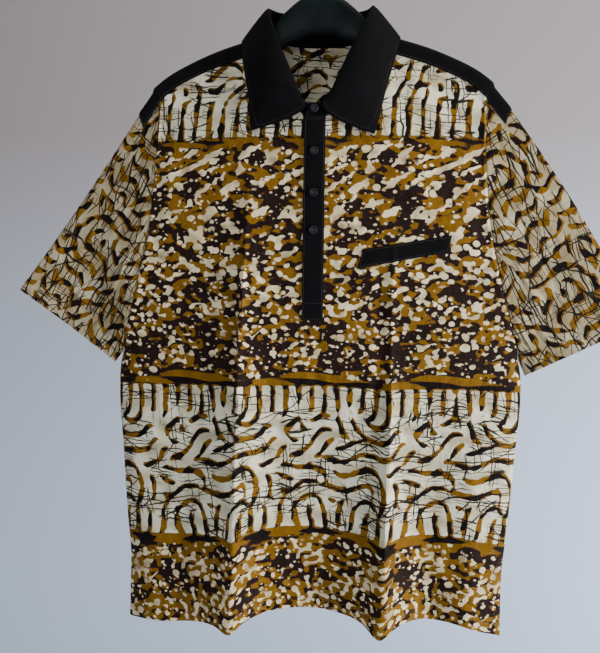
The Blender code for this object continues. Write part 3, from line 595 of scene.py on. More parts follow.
# Pebbled bands, as speckle() takes them: usual length, how far drawn out, angle from the weft, and
# how much the length varies
LARGE_PEBBLES = (25 * MM, 1.9, math.radians(-26), 0.5)
MIDDLE_PEBBLES = (16 * MM, 1.4, math.radians(-8), 0.5)
SMALL_PEBBLES = (11 * MM, 1.2, 0.0, 0.45)
PATCHES = (58 * MM, 1.3, 0.0, 0.6)
BLOTS = (27 * MM, 1.6, math.radians(-10), 0.6)
SMALL_BLOTS = (11 * MM, 1.5)
HEM_BLOTS = (14 * MM, 1.4, math.radians(-10), 0.6)
LENSES = (27 * MM, 3.2, 0.0, 0.4)
BAND_WAVES = (95 * MM, 1.6, 0.0, 0.5)
# Broad patches of painted light and shade on the body's ground
STAIN_AND_SHADE_PATCHES = (40 * MM, 1.3, 0.0, 0.6)
PEBBLE_STAINS = (17 * MM, 1.3, 0.0, 0.6)

# Where the pebbles turn from large to middling, from there to small, and where the chest's ink grows
# denser, with the height over which each change takes place
LARGE_PEBBLES_END = 380 * MM
SMALL_PEBBLES_START = 450 * MM
PEBBLE_CHANGE = 60 * MM
DENSE_START = 440 * MM
DENSE_CHANGE = 90 * MM

# The pebbles' cover: how little of the cloth they take, how much less where they are small and how
# much more near the hem
PEBBLE_LEVEL = 0.79
SMALL_PEBBLE_LOSS = 0.20
HEM_PEBBLE_GAIN = 0.30

# The dark ink's cover of the rest: everywhere, more at the foot of the chest, less near the hem
INK_LEVEL = 0.10
DENSE_INK_GAIN = 0.34
HEM_INK_LOSS = 0.34

# Half width of the solid strips of colour between bands, and the width of their soft edge
STRIP_HALF_WIDTH = 10 * MM
STRIP_EDGE = 9 * MM


def frequencies(shape):
    """Waves a metre across and down the lattice, for each term of its spectrum."""
    down = np.fft.fftfreq(shape[0], LATTICE)[:, None]
    over = np.fft.fftfreq(shape[1], LATTICE)[None, :]
    return over, down


def speckle(rng, shape, length, stretch=1.0, angle=0.0, spread=0.35):
    """Blotches of one usual size that repeat across the lattice: noise that keeps only waves near
    one length, drawn out along an angle from the weft. Its mean is 0 and its deviation 1."""
    over, down = frequencies(shape)
    along = over * math.cos(angle) + down * math.sin(angle)
    aside = down * math.cos(angle) - over * math.sin(angle)
    rate = np.hypot(along * stretch, aside / math.sqrt(stretch)) * length
    keep = bell((rate - 1) / spread)
    field = np.fft.ifft2(np.fft.fft2(rng.standard_normal(shape)) * keep).real
    return field / field.std()


def strokes(rng, direction):
    """Brush strokes of an even pitch with bends, forks and round ends. Each pass keeps, at each
    place, the waves that run along the wanted direction and then steepens them. At the end they
    are divided by their own strength nearby, so that they are as strong at bends."""
    over, down = frequencies(direction.shape)
    rate = np.hypot(over, down) * STROKE_PITCH
    heading = np.arctan2(down, over) + math.pi / 2
    band = bell((rate - 1) / 0.28)
    angles = np.arange(8) * math.pi / 8
    kernels = [band * np.exp(2.6 * (np.cos(2 * (heading - angle)) - 1)) for angle in angles]
    weights = [np.exp(3.0 * (np.cos(2 * (direction - angle)) - 1)) for angle in angles]
    field = rng.standard_normal(direction.shape)
    for _ in range(STROKE_PASSES):
        spectrum = np.fft.fft2(np.tanh(1.5 * field / field.std()))
        parts = [weight * np.fft.ifft2(spectrum * kernel).real for weight, kernel in zip(weights, kernels)]
        field = sum(parts)
    nearby = bell(np.hypot(over, down) * STROKE_PITCH * 1.1)
    level = np.sqrt(np.maximum(np.fft.ifft2(np.fft.fft2(field**2) * nearby).real, 1e-12))
    return field / (level + 0.15 * field.std())


def turned_direction(rng, shape, upright):
    """The strokes' wanted direction: wandering, but nearly up and down where upright is near 1. It
    is worked out at twice the angle, since a stroke has no front and back."""
    wander = speckle(rng, shape, 74 * MM, spread=0.5) * 1.1
    across = (1 - upright) * np.cos(2 * wander) - upright * 1.1
    aslant = (1 - 0.55 * upright) * np.sin(2 * wander)
    return 0.5 * np.arctan2(aslant, across)


def stroke_fields(rng, direction, inked):
    """Ground, ink and hairlines of the brushed bands: strokes on pale ground, uneven in width by a
    slow and by a short swell. Part of each, more of it at a higher inked, has a dark core that is
    set one cell to one side and upwards, so that ochre shows along its edge. The hairlines come
    and go in patches of 58 mm."""
    shape = direction.shape
    swell = 0.22 * speckle(rng, shape, 46 * MM, spread=0.6)
    line = strokes(rng, direction) + 0.16 * speckle(rng, shape, 12 * MM) - swell - STROKE_LEVEL
    tone = speckle(rng, shape, 26 * MM, spread=0.5) + inked
    core = np.roll(line, (1, -1), axis=(0, 1)) - 0.02
    ink = np.minimum(tone * 1.2, core * 2.2)
    crack = 0.66 + 0.6 * speckle(rng, shape, 58 * MM, spread=0.6)
    return -line * 1.7, ink, crack


def body_print():
    """The body's print as five lattices: ground (above 0 is the pale ground), ink (above 0 is the
    dark ink, below it the ochre), crack (how densely hairlines cross it), dots (where small
    pale dots are strewn), stain and shade (how far the ground is turned a dull beige: painted light
    and shade in broad patches, standing for the folds' shading, and stains among the pebbles)."""
    rng = np.random.default_rng(PRINT_SEED)
    shape = BODY_CELLS
    level = (np.arange(shape[0]) * LATTICE)[:, None] * np.ones(shape[1])
    foot = smooth_step((level - SHOULDER_BAND_END + 62 * MM) / (26 * MM))
    foot = foot * (level < SHOULDER_BAND_END + 20 * MM)
    waist = (level - CHEST_BAND_END) / (WAIST_BAND_END - CHEST_BAND_END)
    ends = 1 - smooth_step((waist - 0.06) / 0.24) + smooth_step((waist - 0.74) / 0.18)
    upright = np.where(level > CHEST_BAND_END - 30 * MM, np.clip(ends, 0, 1), foot)
    brushed = stroke_fields(rng, turned_direction(rng, shape, upright), BODY_INK)

    # Pebbles: three sizes, one after the other down the cloth, thinned out and gathered by patches
    large = speckle(rng, shape, *LARGE_PEBBLES)
    middle = speckle(rng, shape, *MIDDLE_PEBBLES)
    small = speckle(rng, shape, *SMALL_PEBBLES)
    patch = speckle(rng, shape, *PATCHES)
    upper = 1 - smooth_step((level - LARGE_PEBBLES_END) / PEBBLE_CHANGE)
    low_band = smooth_step((level - SMALL_PEBBLES_START) / PEBBLE_CHANGE)
    between = (1 - upper) * (1 - low_band)
    pebble = large * upper + middle * between + small * low_band
    pebble = pebble / np.sqrt(upper**2 + between**2 + low_band**2)
    hem_band = smooth_step((level - WAIST_BAND_END) / PEBBLE_CHANGE)
    pebble = pebble + 0.5 * small * (1 - low_band) + 0.30 * patch - PEBBLE_LEVEL
    pebble = pebble - SMALL_PEBBLE_LOSS * low_band + HEM_PEBBLE_GAIN * hem_band

    # Blots of dark ink on the ochre between the pebbles, finer near the hem
    blot = speckle(rng, shape, *BLOTS) + 0.7 * speckle(rng, shape, *SMALL_BLOTS)
    dense = smooth_step((level - DENSE_START) / DENSE_CHANGE) * (level < CHEST_BAND_END)
    fine_blot = 1.3 * speckle(rng, shape, *HEM_BLOTS)
    blot = blot * (1 - 0.6 * hem_band) + fine_blot * 0.6 * hem_band
    blot = blot - 0.55 * patch + INK_LEVEL + DENSE_INK_GAIN * dense - HEM_INK_LOSS * hem_band

    # Strips of ochre with long dark lenses along the edges of the bands
    lens = speckle(rng, shape, *LENSES) - 0.45
    wave = 5 * MM * speckle(rng, shape, *BAND_WAVES)
    strip = np.zeros(shape)
    for edge, away in ((SHOULDER_BAND_END, 1), (CHEST_BAND_END, -1), (WAIST_BAND_END, 1)):
        strip += 1 - smooth_step((np.abs(level - edge) + away * wave - STRIP_HALF_WIDTH) / STRIP_EDGE)
    strip = np.clip(strip, 0, 1)
    speckled = (
        pebble - 1.3 * strip,
        blot * (1 - strip) + lens * strip,
        0.14 * np.ones(shape),
        1 - 0.8 * strip,
    )

    # Above 0 inside the pebbled bands, which are the chest's and the hem's
    inside = np.minimum(level - SHOULDER_BAND_END, CHEST_BAND_END - level)
    inside = np.maximum(inside, level - WAIST_BAND_END) / (4 * MM)
    in_pebbles = inside > 0
    ground = np.where(in_pebbles, np.minimum(speckled[0], inside - 0.4), np.minimum(brushed[0], -inside))
    ink = np.where(in_pebbles, speckled[1], brushed[1])
    crack = np.where(in_pebbles, speckled[2], brushed[2])
    dots = np.where(in_pebbles, speckled[3], 0.0)
    # Painted light and shade in broad patches over the ground, standing for the folds' shading, and real
    # stains among the pebbles
    stain = 0.26 + 0.22 * speckle(rng, shape, *STAIN_AND_SHADE_PATCHES)
    stain = stain + 0.16 * np.where(in_pebbles, speckle(rng, shape, *PEBBLE_STAINS) + 0.4, 0.0)
    return {"ground": ground, "ink": ink, "crack": crack, "dots": dots, "stain": stain}


def sleeve_print():
    """The sleeves' print, cut across the cloth: brushed strokes that wander freely, with denser
    hairlines than the body's, a ground turned dull beige nearly all over, and no dots."""
    rng = np.random.default_rng(SLEEVE_SEED)
    wander = speckle(rng, SLEEVE_CELLS, 96 * MM, spread=0.5) * 1.3
    ground, ink, crack = stroke_fields(rng, wander, SLEEVE_INK)
    # The ground turned dull beige nearly all over, darker than the body's
    stain = 0.90 + 0.12 * speckle(rng, SLEEVE_CELLS, 60 * MM, spread=0.6)
    dots = np.zeros(SLEEVE_CELLS)
    return {"ground": ground - 0.16, "ink": ink, "crack": crack + 0.5, "dots": dots, "stain": stain}


def read_lattice(lattice, across, level):
    """The lattice's values at cloth coordinates, between its points, wrapping round its edges."""
    over = across / LATTICE
    down = level / LATTICE
    left = np.floor(over).astype(int)
    top = np.floor(down).astype(int)
    over = over - left
    down = down - top
    rows, columns = lattice.shape
    high = top % rows
    low = (top + 1) % rows
    near = left % columns
    far = (left + 1) % columns
    upper = lattice[high, near] * (1 - over) + lattice[high, far] * over
    lower = lattice[low, near] * (1 - over) + lattice[low, far] * over
    return upper * (1 - down) + lower * down


def cloth_mesh(name, outer, inner, cloth, material, ring=False, fields=None, shift=0.0):
    """A two-sided shell from a grid of outer points and one of inner points. Each face starts at a
    corner of its shorter diagonal, along which it is split. The UV map holds the cloth
    coordinates in metres, and the attributes hold the print's fields."""
    rows, columns = outer.shape[:2]
    count = rows * columns
    index = np.arange(count).reshape(rows, columns)
    after = np.roll(index, -1, axis=1)
    if not ring:
        index, after = index[:, :-1], after[:, :-1]
    quads = np.stack([index[:-1], after[:-1], after[1:], index[1:]], axis=-1).reshape(-1, 4)
    start = np.concatenate([index[0], after[-1]])
    end = np.concatenate([after[0], index[-1]])
    if not ring:
        grid = np.arange(count).reshape(rows, columns)
        start = np.concatenate([start, grid[1:, 0], grid[:-1, -1]])
        end = np.concatenate([end, grid[:-1, 0], grid[1:, -1]])
    rim = np.stack([end, start, start + count, end + count], axis=-1)
    faces = np.concatenate([quads, quads[:, ::-1] + count, rim])
    points = np.concatenate([outer.reshape(-1, 3), inner.reshape(-1, 3)])
    corners = points[faces]
    first = np.linalg.norm(corners[:, 0] - corners[:, 2], axis=-1)
    second = np.linalg.norm(corners[:, 1] - corners[:, 3], axis=-1)
    faces = np.where((second < first)[:, None], np.roll(faces, 1, axis=1), faces)
    corners = points[faces]
    volume = np.einsum("ij,ij->i", corners[:, 0], np.cross(corners[:, 1], corners[:, 2])).sum()
    volume += np.einsum("ij,ij->i", corners[:, 0], np.cross(corners[:, 2], corners[:, 3])).sum()
    if volume < 0:
        faces = faces[:, [2, 1, 0, 3]]
    mesh = bpy.data.meshes.new(name)
    mesh.vertices.add(len(points))
    mesh.vertices.foreach_set("co", points.astype(np.float32).ravel())
    mesh.loops.add(faces.size)
    mesh.loops.foreach_set("vertex_index", faces.astype(np.int32).ravel())
    mesh.polygons.add(len(faces))
    mesh.polygons.foreach_set("loop_start", np.arange(0, faces.size, 4, dtype=np.int32))
    mesh.update(calc_edges=True)
    flat = np.concatenate([cloth.reshape(-1, 2), cloth.reshape(-1, 2)])
    layer = mesh.uv_layers.new(name="cloth")
    layer.data.foreach_set("uv", flat[faces.ravel()].astype(np.float32).ravel())
    for label, lattice in (fields or {}).items():
        values = read_lattice(lattice, flat[:, 0] + shift, flat[:, 1])
        attribute = mesh.attributes.new(label, "FLOAT", "POINT")
        attribute.data.foreach_set("value", values.astype(np.float32))
    return place_mesh(name, mesh, material)


def place_mesh(name, mesh, material):
    """Shades a mesh smooth, gives it its material and adds it to the scene."""
    mesh.materials.append(material)
    mesh.shade_smooth()
    mesh.set_sharp_from_angle(angle=math.radians(50))
    item = bpy.data.objects.new(name, mesh)
    bpy.context.scene.collection.objects.link(item)
    return item


def finish_piece(item, slot, *nodes):
    """Rides the piece on the part, and hides the solids that it stands for. Its slot is not used."""
    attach(item, "root")
    if nodes:
        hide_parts(*nodes)
    return item


def sleeve_grid(front, back, side, tip, end, swing, bow):
    """A sleeve's outer points, its cloth coordinates, its normals and its rings' places along it.
    Each ring lies between the armhole's edges, front and back, and a lens-shaped hem, bowed and
    swung by sine curves. The cloth coordinates are the distance along the top and the distance down
    from it, on both sides."""
    column = -1 if side > 0 else 0
    down = front[: ARMPIT_ROW + 1, column].copy()
    up = back[ARMPIT_ROW::-1, column].copy()
    down[0, 1] = 0
    down[-1, 1] = 0
    start = np.concatenate([down, up[1:-1]])
    length = np.concatenate([[0], np.cumsum(np.linalg.norm(np.diff(down[:, [0, 2]], axis=0), axis=1))])
    share = length / length[-1]
    share = np.concatenate([share, share[-2:0:-1]])
    facing = np.concatenate([-np.ones(len(down)), np.ones(len(up) - 2)])
    tip = np.array([side * tip[0], 0, tip[1]]) * MM
    end = np.array([side * end[0], 0, end[1]]) * MM
    lens = np.sin(np.pi * share) ** SLEEVE_FULLNESS * SLEEVE_HALF_DEPTH
    hem = tip + (end - tip) * share[:, None]
    hem[:, 1] = facing * lens + 2 * swing * MM * np.sin(np.pi * share)
    start[:, 0] += side * SEAM
    top_run = unit(hem[0] - start[0])
    outward = np.array([-top_run[2], 0, top_run[0]]) * side
    rings = []
    alongs = np.concatenate([np.array((0, 0.003, 0.007, 0.012)), np.linspace(0.02, 1, SLEEVE_RINGS)])
    for along in alongs:
        ring = start + (hem - start) * along
        ring += np.outer((1 - share) * math.sin(math.pi * along), outward) * bow * MM
        flat = smooth_step(along / SLEEVE_FLATTENING)
        own = facing * lens * (1 - 0.15 * along) + swing * MM * np.sin(np.pi * share) * along
        ring[:, 1] = start[:, 1] * (1 - flat) + own * flat
        rings.append(ring)
    points = np.array(rings)
    middle = points.mean(axis=1, keepdims=True)
    away = (points - middle) * np.array([1, 20, 1])
    around = np.roll(points, -1, axis=1) - np.roll(points, 1, axis=1)
    normal = unit(np.cross(around, np.gradient(points, axis=0)))
    normal = normal * np.sign((normal * away).sum())
    step = np.linalg.norm(np.diff(points, axis=0), axis=-1)
    run = np.concatenate([np.zeros((1, points.shape[1])), np.cumsum(step, axis=0)])
    flat = points - points[0, 0]
    cloth = np.stack([flat @ top_run, (flat @ outward) * facing], axis=-1)
    height = np.zeros(run.shape)
    place = alongs[:, None] + 0 * run
    around_mm = (share + 0 * run) * SLEEVE_ROUND
    for start_along, start_share, end_along, end_share, width, crease_height in SLEEVE_CREASES:
        # The sleeve's hidden side has like creases, moved round, a little lower and turned over
        for face in (-1, 1):
            shift = 0 if face < 0 else 0.07
            line = (
                start_along * SLEEVE_RUN,
                (start_share + shift) * SLEEVE_ROUND,
                end_along * SLEEVE_RUN,
                (end_share + shift) * SLEEVE_ROUND,
                width,
                crease_height * (1 if face < 0 else -0.8),
                6 * face,
            )
            height += line_crease(place * SLEEVE_RUN * MM, around_mm * MM, line) * (facing == face)
    height += slack(run, around_mm * MM + 0.4 * (facing > 0), 3.1 + side)
    calm = smooth_step((place - 0.005) / 0.07) * smooth_step((1 - place) / 0.05)
    calm = calm * np.sin(np.pi * share) ** 0.5
    cuff = turned_hem((1 - place) * SLEEVE_RUN, CUFF_STITCH)
    dip = SEAM_DIP * bell(run / SEAM_DIP_WIDTH)
    points = points + normal * (height * calm + cuff - dip)[..., None]
    return soft_shoulder(points), cloth, normal, alongs


def smooth_normals(normal, ring=False):
    """Normals evened out with their neighbours, for offsets at tight rolls."""
    padded = np.concatenate([normal[:1], normal, normal[-1:]])
    normal = padded[:-2] + 2 * padded[1:-1] + padded[2:]
    if ring:
        normal = np.roll(normal, 1, axis=1) + 2 * normal + np.roll(normal, -1, axis=1)
    else:
        padded = np.concatenate([normal[:, :1], normal, normal[:, -1:]], axis=1)
        normal = padded[:, :-2] + 2 * padded[:, 1:-1] + padded[:, 2:]
    return unit(normal)


def grid_lengths(points):
    """Distances across and down a grid of points, measured from its first corner."""
    over = np.linalg.norm(np.diff(points, axis=1), axis=-1)
    across = np.concatenate([np.zeros((len(points), 1)), np.cumsum(over, axis=1)], axis=1)
    step = np.linalg.norm(np.diff(points, axis=0), axis=-1)
    down = np.concatenate([np.zeros((1, points.shape[1])), np.cumsum(step, axis=0)])
    return np.stack([across, down], axis=-1)


def edge_distance(points):
    """How far each point of a grid lies from its nearest border."""
    lengths = grid_lengths(points)
    across, down = lengths[..., 0], lengths[..., 1]
    return np.minimum(np.minimum(across, across[:, -1:] - across), np.minimum(down, down[-1:] - down))


def padded_height(inset, thick, stitch):
    """A turned edge's height over what it lies on: a quarter round at its border, which starts at
    0.12 of the thickness, and a groove of 0.35 mm at a stitch line that runs that far inside."""
    rise = np.sqrt(1 - (1 - np.clip(inset / TRIM, 0, 1)) ** 2)
    groove = bell((inset - stitch) / (0.9 * MM))
    return thick * (0.12 + 0.88 * rise) - 0.35 * MM * groove


def laid_piece(name, base, normal, material, stitch=BAND_STITCH):
    """A band laid on the grid of points under it, with soft turned edges and a stitched border."""
    inset = edge_distance(base)
    outer = base + normal * (LAY + padded_height(inset, TRIM, stitch))[..., None]
    inner = base + normal * (0.3 * LAY)
    return cloth_mesh(name, outer, inner, grid_lengths(base), material), outer


def grid_at(points, row, column):
    """Points inside a grid at fractional rows and columns, as whole arrays."""
    row = np.clip(row, 0, points.shape[0] - 1.0001)
    column = np.clip(column, 0, points.shape[1] - 1.0001)
    top = np.floor(row).astype(int)
    left = np.floor(column).astype(int)
    down = (row - top)[..., None]
    over = (column - left)[..., None]
    upper = points[top, left] * (1 - over) + points[top, left + 1] * over
    lower = points[top + 1, left] * (1 - over) + points[top + 1, left + 1] * over
    return upper * (1 - down) + lower * down


def find_on(points, x, z):
    """Fractional rows and columns of a panel's grid that show at x and z, found by 60 steps, each of
    which goes 0.8 of the way that the grid's own spacing gives."""
    row = np.full(x.shape, points.shape[0] / 2)
    column = np.full(x.shape, (points.shape[1] - 1) / 2)
    for _ in range(60):
        here = grid_at(points, row, column)
        right = grid_at(points, row, column + 0.5)
        under = grid_at(points, row + 0.5, column)
        across = np.maximum((right[..., 0] - here[..., 0]) * 2, 1e-5)
        down = np.minimum((under[..., 2] - here[..., 2]) * 2, -1e-5)
        column = np.clip(column + 0.8 * (x - here[..., 0]) / across, 0, points.shape[1] - 2)
        row = np.clip(row + 0.8 * (z - here[..., 2]) / down, 0, points.shape[0] - 2)
    return row, column


def mirrored(half):
    """A half collar's rows joined to their mirror image across the middle of the back."""
    other = half[:, -2::-1] * np.array([-1, 1, 1])
    return np.concatenate([half, other], axis=1)


def table_points(table, share):
    """Points of a collar table at shares of the neck seam, in metres."""
    return np.stack([curve_through(table, "share", axis, share) for axis in "xyz"], axis=-1) * MM


def stand_grid(front, back):
    """The collar stand's outer points, from the neck seam to just under the collar's fold. The
    wearer's-left end laps over the other one. Also its directions into the cloth."""
    middle = front.shape[1] // 2
    ahead = slice(middle, middle + NECK_COLUMNS + 1)
    behind = slice(middle + NECK_COLUMNS - 1, middle - 1, -1)
    seam = np.concatenate([front[0, ahead], back[0, behind]])
    seam[NECK_COLUMNS, 1] = 0
    length = np.concatenate([[0], np.cumsum(np.linalg.norm(np.diff(seam, axis=0), axis=1))])
    share = length / length[-1]
    fold = table_points(COLLAR_FOLD, share)
    rise = unit(fold - seam)
    low = seam + rise * SEAM
    high = fold - rise * LAY
    rows = mirrored(np.array([low + (high - low) * step for step in np.linspace(0, 1, STAND_ROWS)]))
    towards = np.array([0, -4 * MM, 0]) - rows
    towards[..., 2] = 0
    inward = outward_normals(rows, towards)
    lap = LAP_COLUMNS + 1
    flip = np.array([-1, 1, 1])
    before = slice(lap - 1, 0, -1)
    after = slice(-2, -lap - 1, -1)
    rows = np.concatenate([rows[:, before] * flip, rows, rows[:, after] * flip], axis=1)
    inward = np.concatenate([inward[:, before] * flip, inward, inward[:, after] * flip], axis=1)
    place = np.arange(rows.shape[1])
    over = 1 - smooth_step((place - 2 * LAP_COLUMNS) / LAP_EASE)
    rows[..., 1] -= over * (CLOTH + TRIM)
    under = 1 - smooth_step((rows.shape[1] - 1 - place - 2 * LAP_COLUMNS) / LAP_EASE)
    straight = np.maximum(over, under)[:, None]
    return rows, unit(inward * (1 - straight) + np.array([0, 1.0, 0]) * straight)


def leaf_grid():
    """The collar leaf's outer points: from each point of the fold a quadratic curve past the bend
    to the edge, with a small roll over the stand at its start, and its directions inwards."""
    share = np.concatenate([np.linspace(LEAF_START, 0.3, 30), np.linspace(0.3, 1, 66)[1:]])
    steps = np.concatenate([np.array((0, 0.01, 0.02, 0.035, 0.055, 0.08)), np.linspace(0.11, 1, 34)])
    fold = table_points(COLLAR_FOLD, share)
    bend = table_points(LEAF_BEND, share)
    edge = table_points(LEAF_EDGE, share)
    lift = np.array([0, 0, 1.0]) * (LAY + TRIM)
    run = np.gradient(fold, axis=0)
    out = unit(np.stack([-run[:, 1], run[:, 0], np.zeros(len(run))], axis=1))
    out *= np.where((out * fold).sum(axis=1, keepdims=True) < 0, -1, 1)
    front_roll = LEAF_FRONT_ROLL * bell(share / 0.16)
    rows = []
    for step in steps:
        line = fold * (1 - step) ** 2 + bend * 2 * step * (1 - step) + edge * step**2
        turned = 1 - math.exp(-step / 0.05)
        roll = (LEAF_ROLL * turned + front_roll) * (1 - 0.5 * step)
        rows.append(line + lift * (1 - step) + out * roll[:, None])
    rows = mirrored(np.array(rows))
    towards = np.array([0, -4 * MM, 0]) - rows
    towards[..., 2] = -0.05
    inward = smooth_normals(outward_normals(rows, towards))
    half = np.concatenate([share, share[-2::-1]])
    tip = bell((half - LEAF_START) / LEAF_POINT_REACH) * (steps[:, None] ** 1.5)
    left = np.arange(rows.shape[1]) < len(share)
    rows[..., 0] -= tip * np.where(left, *LEAF_POINT_RIGHT)
    rows[..., 2] -= tip * np.where(left, *LEAF_POINT_DOWN)
    wave = np.sin(np.linspace(0, 1, rows.shape[1]) * LEAF_WAVES)
    wave = wave * np.linspace(0, 1, len(steps))[:, None] ** 2
    rows = rows - inward * (wave * 0.5 * MM)[..., None]
    return rows, inward


def trim_shell(name, rows, inward, material, stitch):
    """A doubled trim of even thickness with soft edges and a stitched border."""
    inset = edge_distance(rows)
    drop = TRIM - padded_height(inset, TRIM, stitch)
    outer = rows + inward * (drop * 0.8)[..., None]
    inner = rows + inward * (TRIM - drop * 0.25)[..., None]
    return cloth_mesh(name, outer, inner, grid_lengths(rows), material), outer


def stitch_row(points, normals, pitch, length, radius):
    """Stitches along a line on cloth: short threads that dip at both ends, as arrays of points and
    faces. Each is a six-sided thread of five rings, which thins and sinks towards its ends."""
    gap = np.linalg.norm(np.diff(points, axis=0), axis=1)
    along = np.concatenate([[0], np.cumsum(gap)])
    count = max(int(along[-1] / pitch), 1)
    centre = (np.arange(count) + 0.5) * along[-1] / count
    offsets = np.array((-0.5, -0.3, 0.0, 0.3, 0.5)) * length
    place = centre[:, None] + offsets
    spots = np.stack([np.interp(place, along, points[:, axis]) for axis in range(3)], axis=-1)
    up = np.stack([np.interp(place, along, normals[:, axis]) for axis in range(3)], axis=-1)
    up = unit(up)
    side = np.cross(unit(spots[:, -1:] - spots[:, :1]), up)
    lift = np.array((-0.5, 0.35, 0.75, 0.35, -0.5)) * radius
    size = np.array((0.35, 0.95, 1.0, 0.95, 0.35)) * radius
    turn = np.arange(THREAD_SIDES) * math.tau / THREAD_SIDES
    ring = side[:, :, None] * np.cos(turn)[:, None] + up[:, :, None] * np.sin(turn)[:, None]
    verts = (spots + up * lift[:, None])[:, :, None] + ring * size[:, None, None]
    verts = verts.reshape(-1, 3)
    faces = []
    base = np.arange(count)[:, None] * len(offsets) * THREAD_SIDES
    for level in range(len(offsets) - 1):
        ring_start = base + level * THREAD_SIDES
        for corner in range(THREAD_SIDES):
            after = (corner + 1) % THREAD_SIDES
            quad = (corner, after, THREAD_SIDES + after, THREAD_SIDES + corner)
            faces.append(ring_start + np.array(quad))
    return verts, np.concatenate(faces)


def thread_mesh(name, lines, material, pitch=2.7 * MM, length=2.1 * MM, radius=0.2 * MM):
    """One object for all the stitches along several lines of points with their normals."""
    verts, faces, total = [], [], 0
    for points, normals in lines:
        row_verts, row_faces = stitch_row(points, normals, pitch, length, radius)
        verts.append(row_verts)
        faces.append(row_faces + total)
        total += len(row_verts)
    mesh = bpy.data.meshes.new(name)
    mesh.from_pydata(np.concatenate(verts).tolist(), [], np.concatenate(faces).tolist())
    return place_mesh(name, mesh, material)


def grid_line(points, rows, columns, lift=0.0, away=(0, -1, 0)):
    """A line across a grid through fractional rows and columns, with its normals."""
    normal = outward_normals(points, np.array(away))
    rows = np.asarray(rows, float)
    columns = np.asarray(columns, float)
    line = grid_at(points, rows, columns)
    up = grid_at(normal, rows, columns)
    return line + up * lift, up


def border_line(outer, inset, away, skip_top=False):
    """A line that runs round a laid piece, a given distance inside its border."""
    lengths = grid_lengths(outer)
    rows, columns = outer.shape[:2]
    middle = columns // 2
    down = lengths[:, middle, 1]
    top = 0.0 if skip_top else np.interp(inset, down, np.arange(rows))
    foot = np.interp(down[-1] - inset, down, np.arange(rows))
    across = lengths[rows // 2, :, 0]
    left = np.interp(inset, across, np.arange(columns))
    right = np.interp(across[-1] - inset, across, np.arange(columns))
    upright = np.linspace(top, foot, 120)
    level = np.linspace(left, right, 80)
    sides = [
        grid_line(outer, upright, np.full(120, left), away=away),
        grid_line(outer, np.full(80, foot), level, away=away),
        grid_line(outer, upright[::-1], np.full(120, right), away=away),
    ]
    if not skip_top:
        sides.append(grid_line(outer, np.full(80, top), level[::-1], away=away))
    return sides


def put(tree, target, socket, value):
    """Links an output to an input, or sets the input's own value."""
    entry = target.inputs[socket]
    if isinstance(value, bpy.types.NodeSocket):
        tree.links.new(value, entry)
    else:
        entry.default_value = value


def math_node(tree, operation, first, second=0.0, third=0.0):
    """One step of arithmetic on up to three outputs or numbers."""
    made = tree.nodes.new("ShaderNodeMath")
    made.operation = operation
    for socket, value in enumerate((first, second, third)):
        put(tree, made, socket, value)
    return made.outputs[0]


def ramp(tree, value, low, high, start=0.0, end=1.0):
    """The value's place between low and high, from start to end, held beyond them."""
    made = tree.nodes.new("ShaderNodeMapRange")
    for socket, number in enumerate((value, low, high, start, end)):
        put(tree, made, socket, number)
    return made.outputs[0]


def mix(tree, share, first, second, blend="MIX"):
    """A colour between two others, or their product, by a share of the second."""
    made = tree.nodes.new("ShaderNodeMix")
    made.data_type = "RGBA"
    made.blend_type = blend
    put(tree, made, 0, share)
    put(tree, made, 6, first)
    put(tree, made, 7, second)
    return made.outputs[2]


def noise(tree, vector, scale, detail=2.0, roughness=0.5, distortion=0.0):
    """Smooth noise from 0 to 1, with about so many blotches a metre as its scale says."""
    made = tree.nodes.new("ShaderNodeTexNoise")
    put(tree, made, "Vector", vector)
    put(tree, made, "Scale", scale)
    put(tree, made, "Detail", detail)
    put(tree, made, "Roughness", roughness)
    put(tree, made, "Distortion", distortion)
    return made.outputs[0]


def scaled(tree, vector, scale, turn=0.0):
    """Cloth coordinates turned by an angle and then multiplied along each axis, for streaks."""
    made = tree.nodes.new("ShaderNodeMapping")
    made.vector_type = "TEXTURE"
    put(tree, made, "Vector", vector)
    put(tree, made, "Rotation", (0, 0, turn))
    put(tree, made, "Scale", tuple(1 / value for value in scale))
    return made.outputs[0]


def hairlines(tree, vector, turn, pitch, width, gate):
    """Long thin cracks that wander along one direction: the middles of bands, so many a metre, that
    drift up and down by as much as 40 mm. A stretched noise over the gate's level breaks them into
    lengths."""
    axes = tree.nodes.new("ShaderNodeSeparateXYZ")
    tree.links.new(scaled(tree, vector, (pitch, pitch, 1), turn), axes.inputs[0])
    drift = noise(tree, scaled(tree, vector, (8.0, 22.0, 1), turn), 1.0, 2.0, 0.45)
    phase = math_node(tree, "MULTIPLY_ADD", drift, pitch * 0.040, axes.outputs[1])
    place = math_node(tree, "FRACT", phase)
    off = math_node(tree, "ABSOLUTE", math_node(tree, "SUBTRACT", place, 0.5))
    line = ramp(tree, off, width, width * 1.6, 1.0, 0.0)
    patch = noise(tree, scaled(tree, vector, (12.0, 60.0, 1), turn + 0.05), 1.0, 1.0)
    return math_node(tree, "MULTIPLY", line, ramp(tree, patch, gate, gate + 0.04))


def dot_layer(tree, vector, scale, largest):
    """Round dots, one in each cell and of many sizes. Above 0 inside a dot, in cell widths."""
    cells = tree.nodes.new("ShaderNodeTexVoronoi")
    put(tree, cells, "Vector", vector)
    put(tree, cells, "Scale", scale)
    put(tree, cells, "Randomness", 0.9)
    tint = tree.nodes.new("ShaderNodeSeparateColor")
    tree.links.new(cells.outputs["Color"], tint.inputs[0])
    size = ramp(tree, tint.outputs[0], 0.25, 1.0, 0.0, largest)
    return math_node(tree, "SUBTRACT", size, cells.outputs["Distance"])


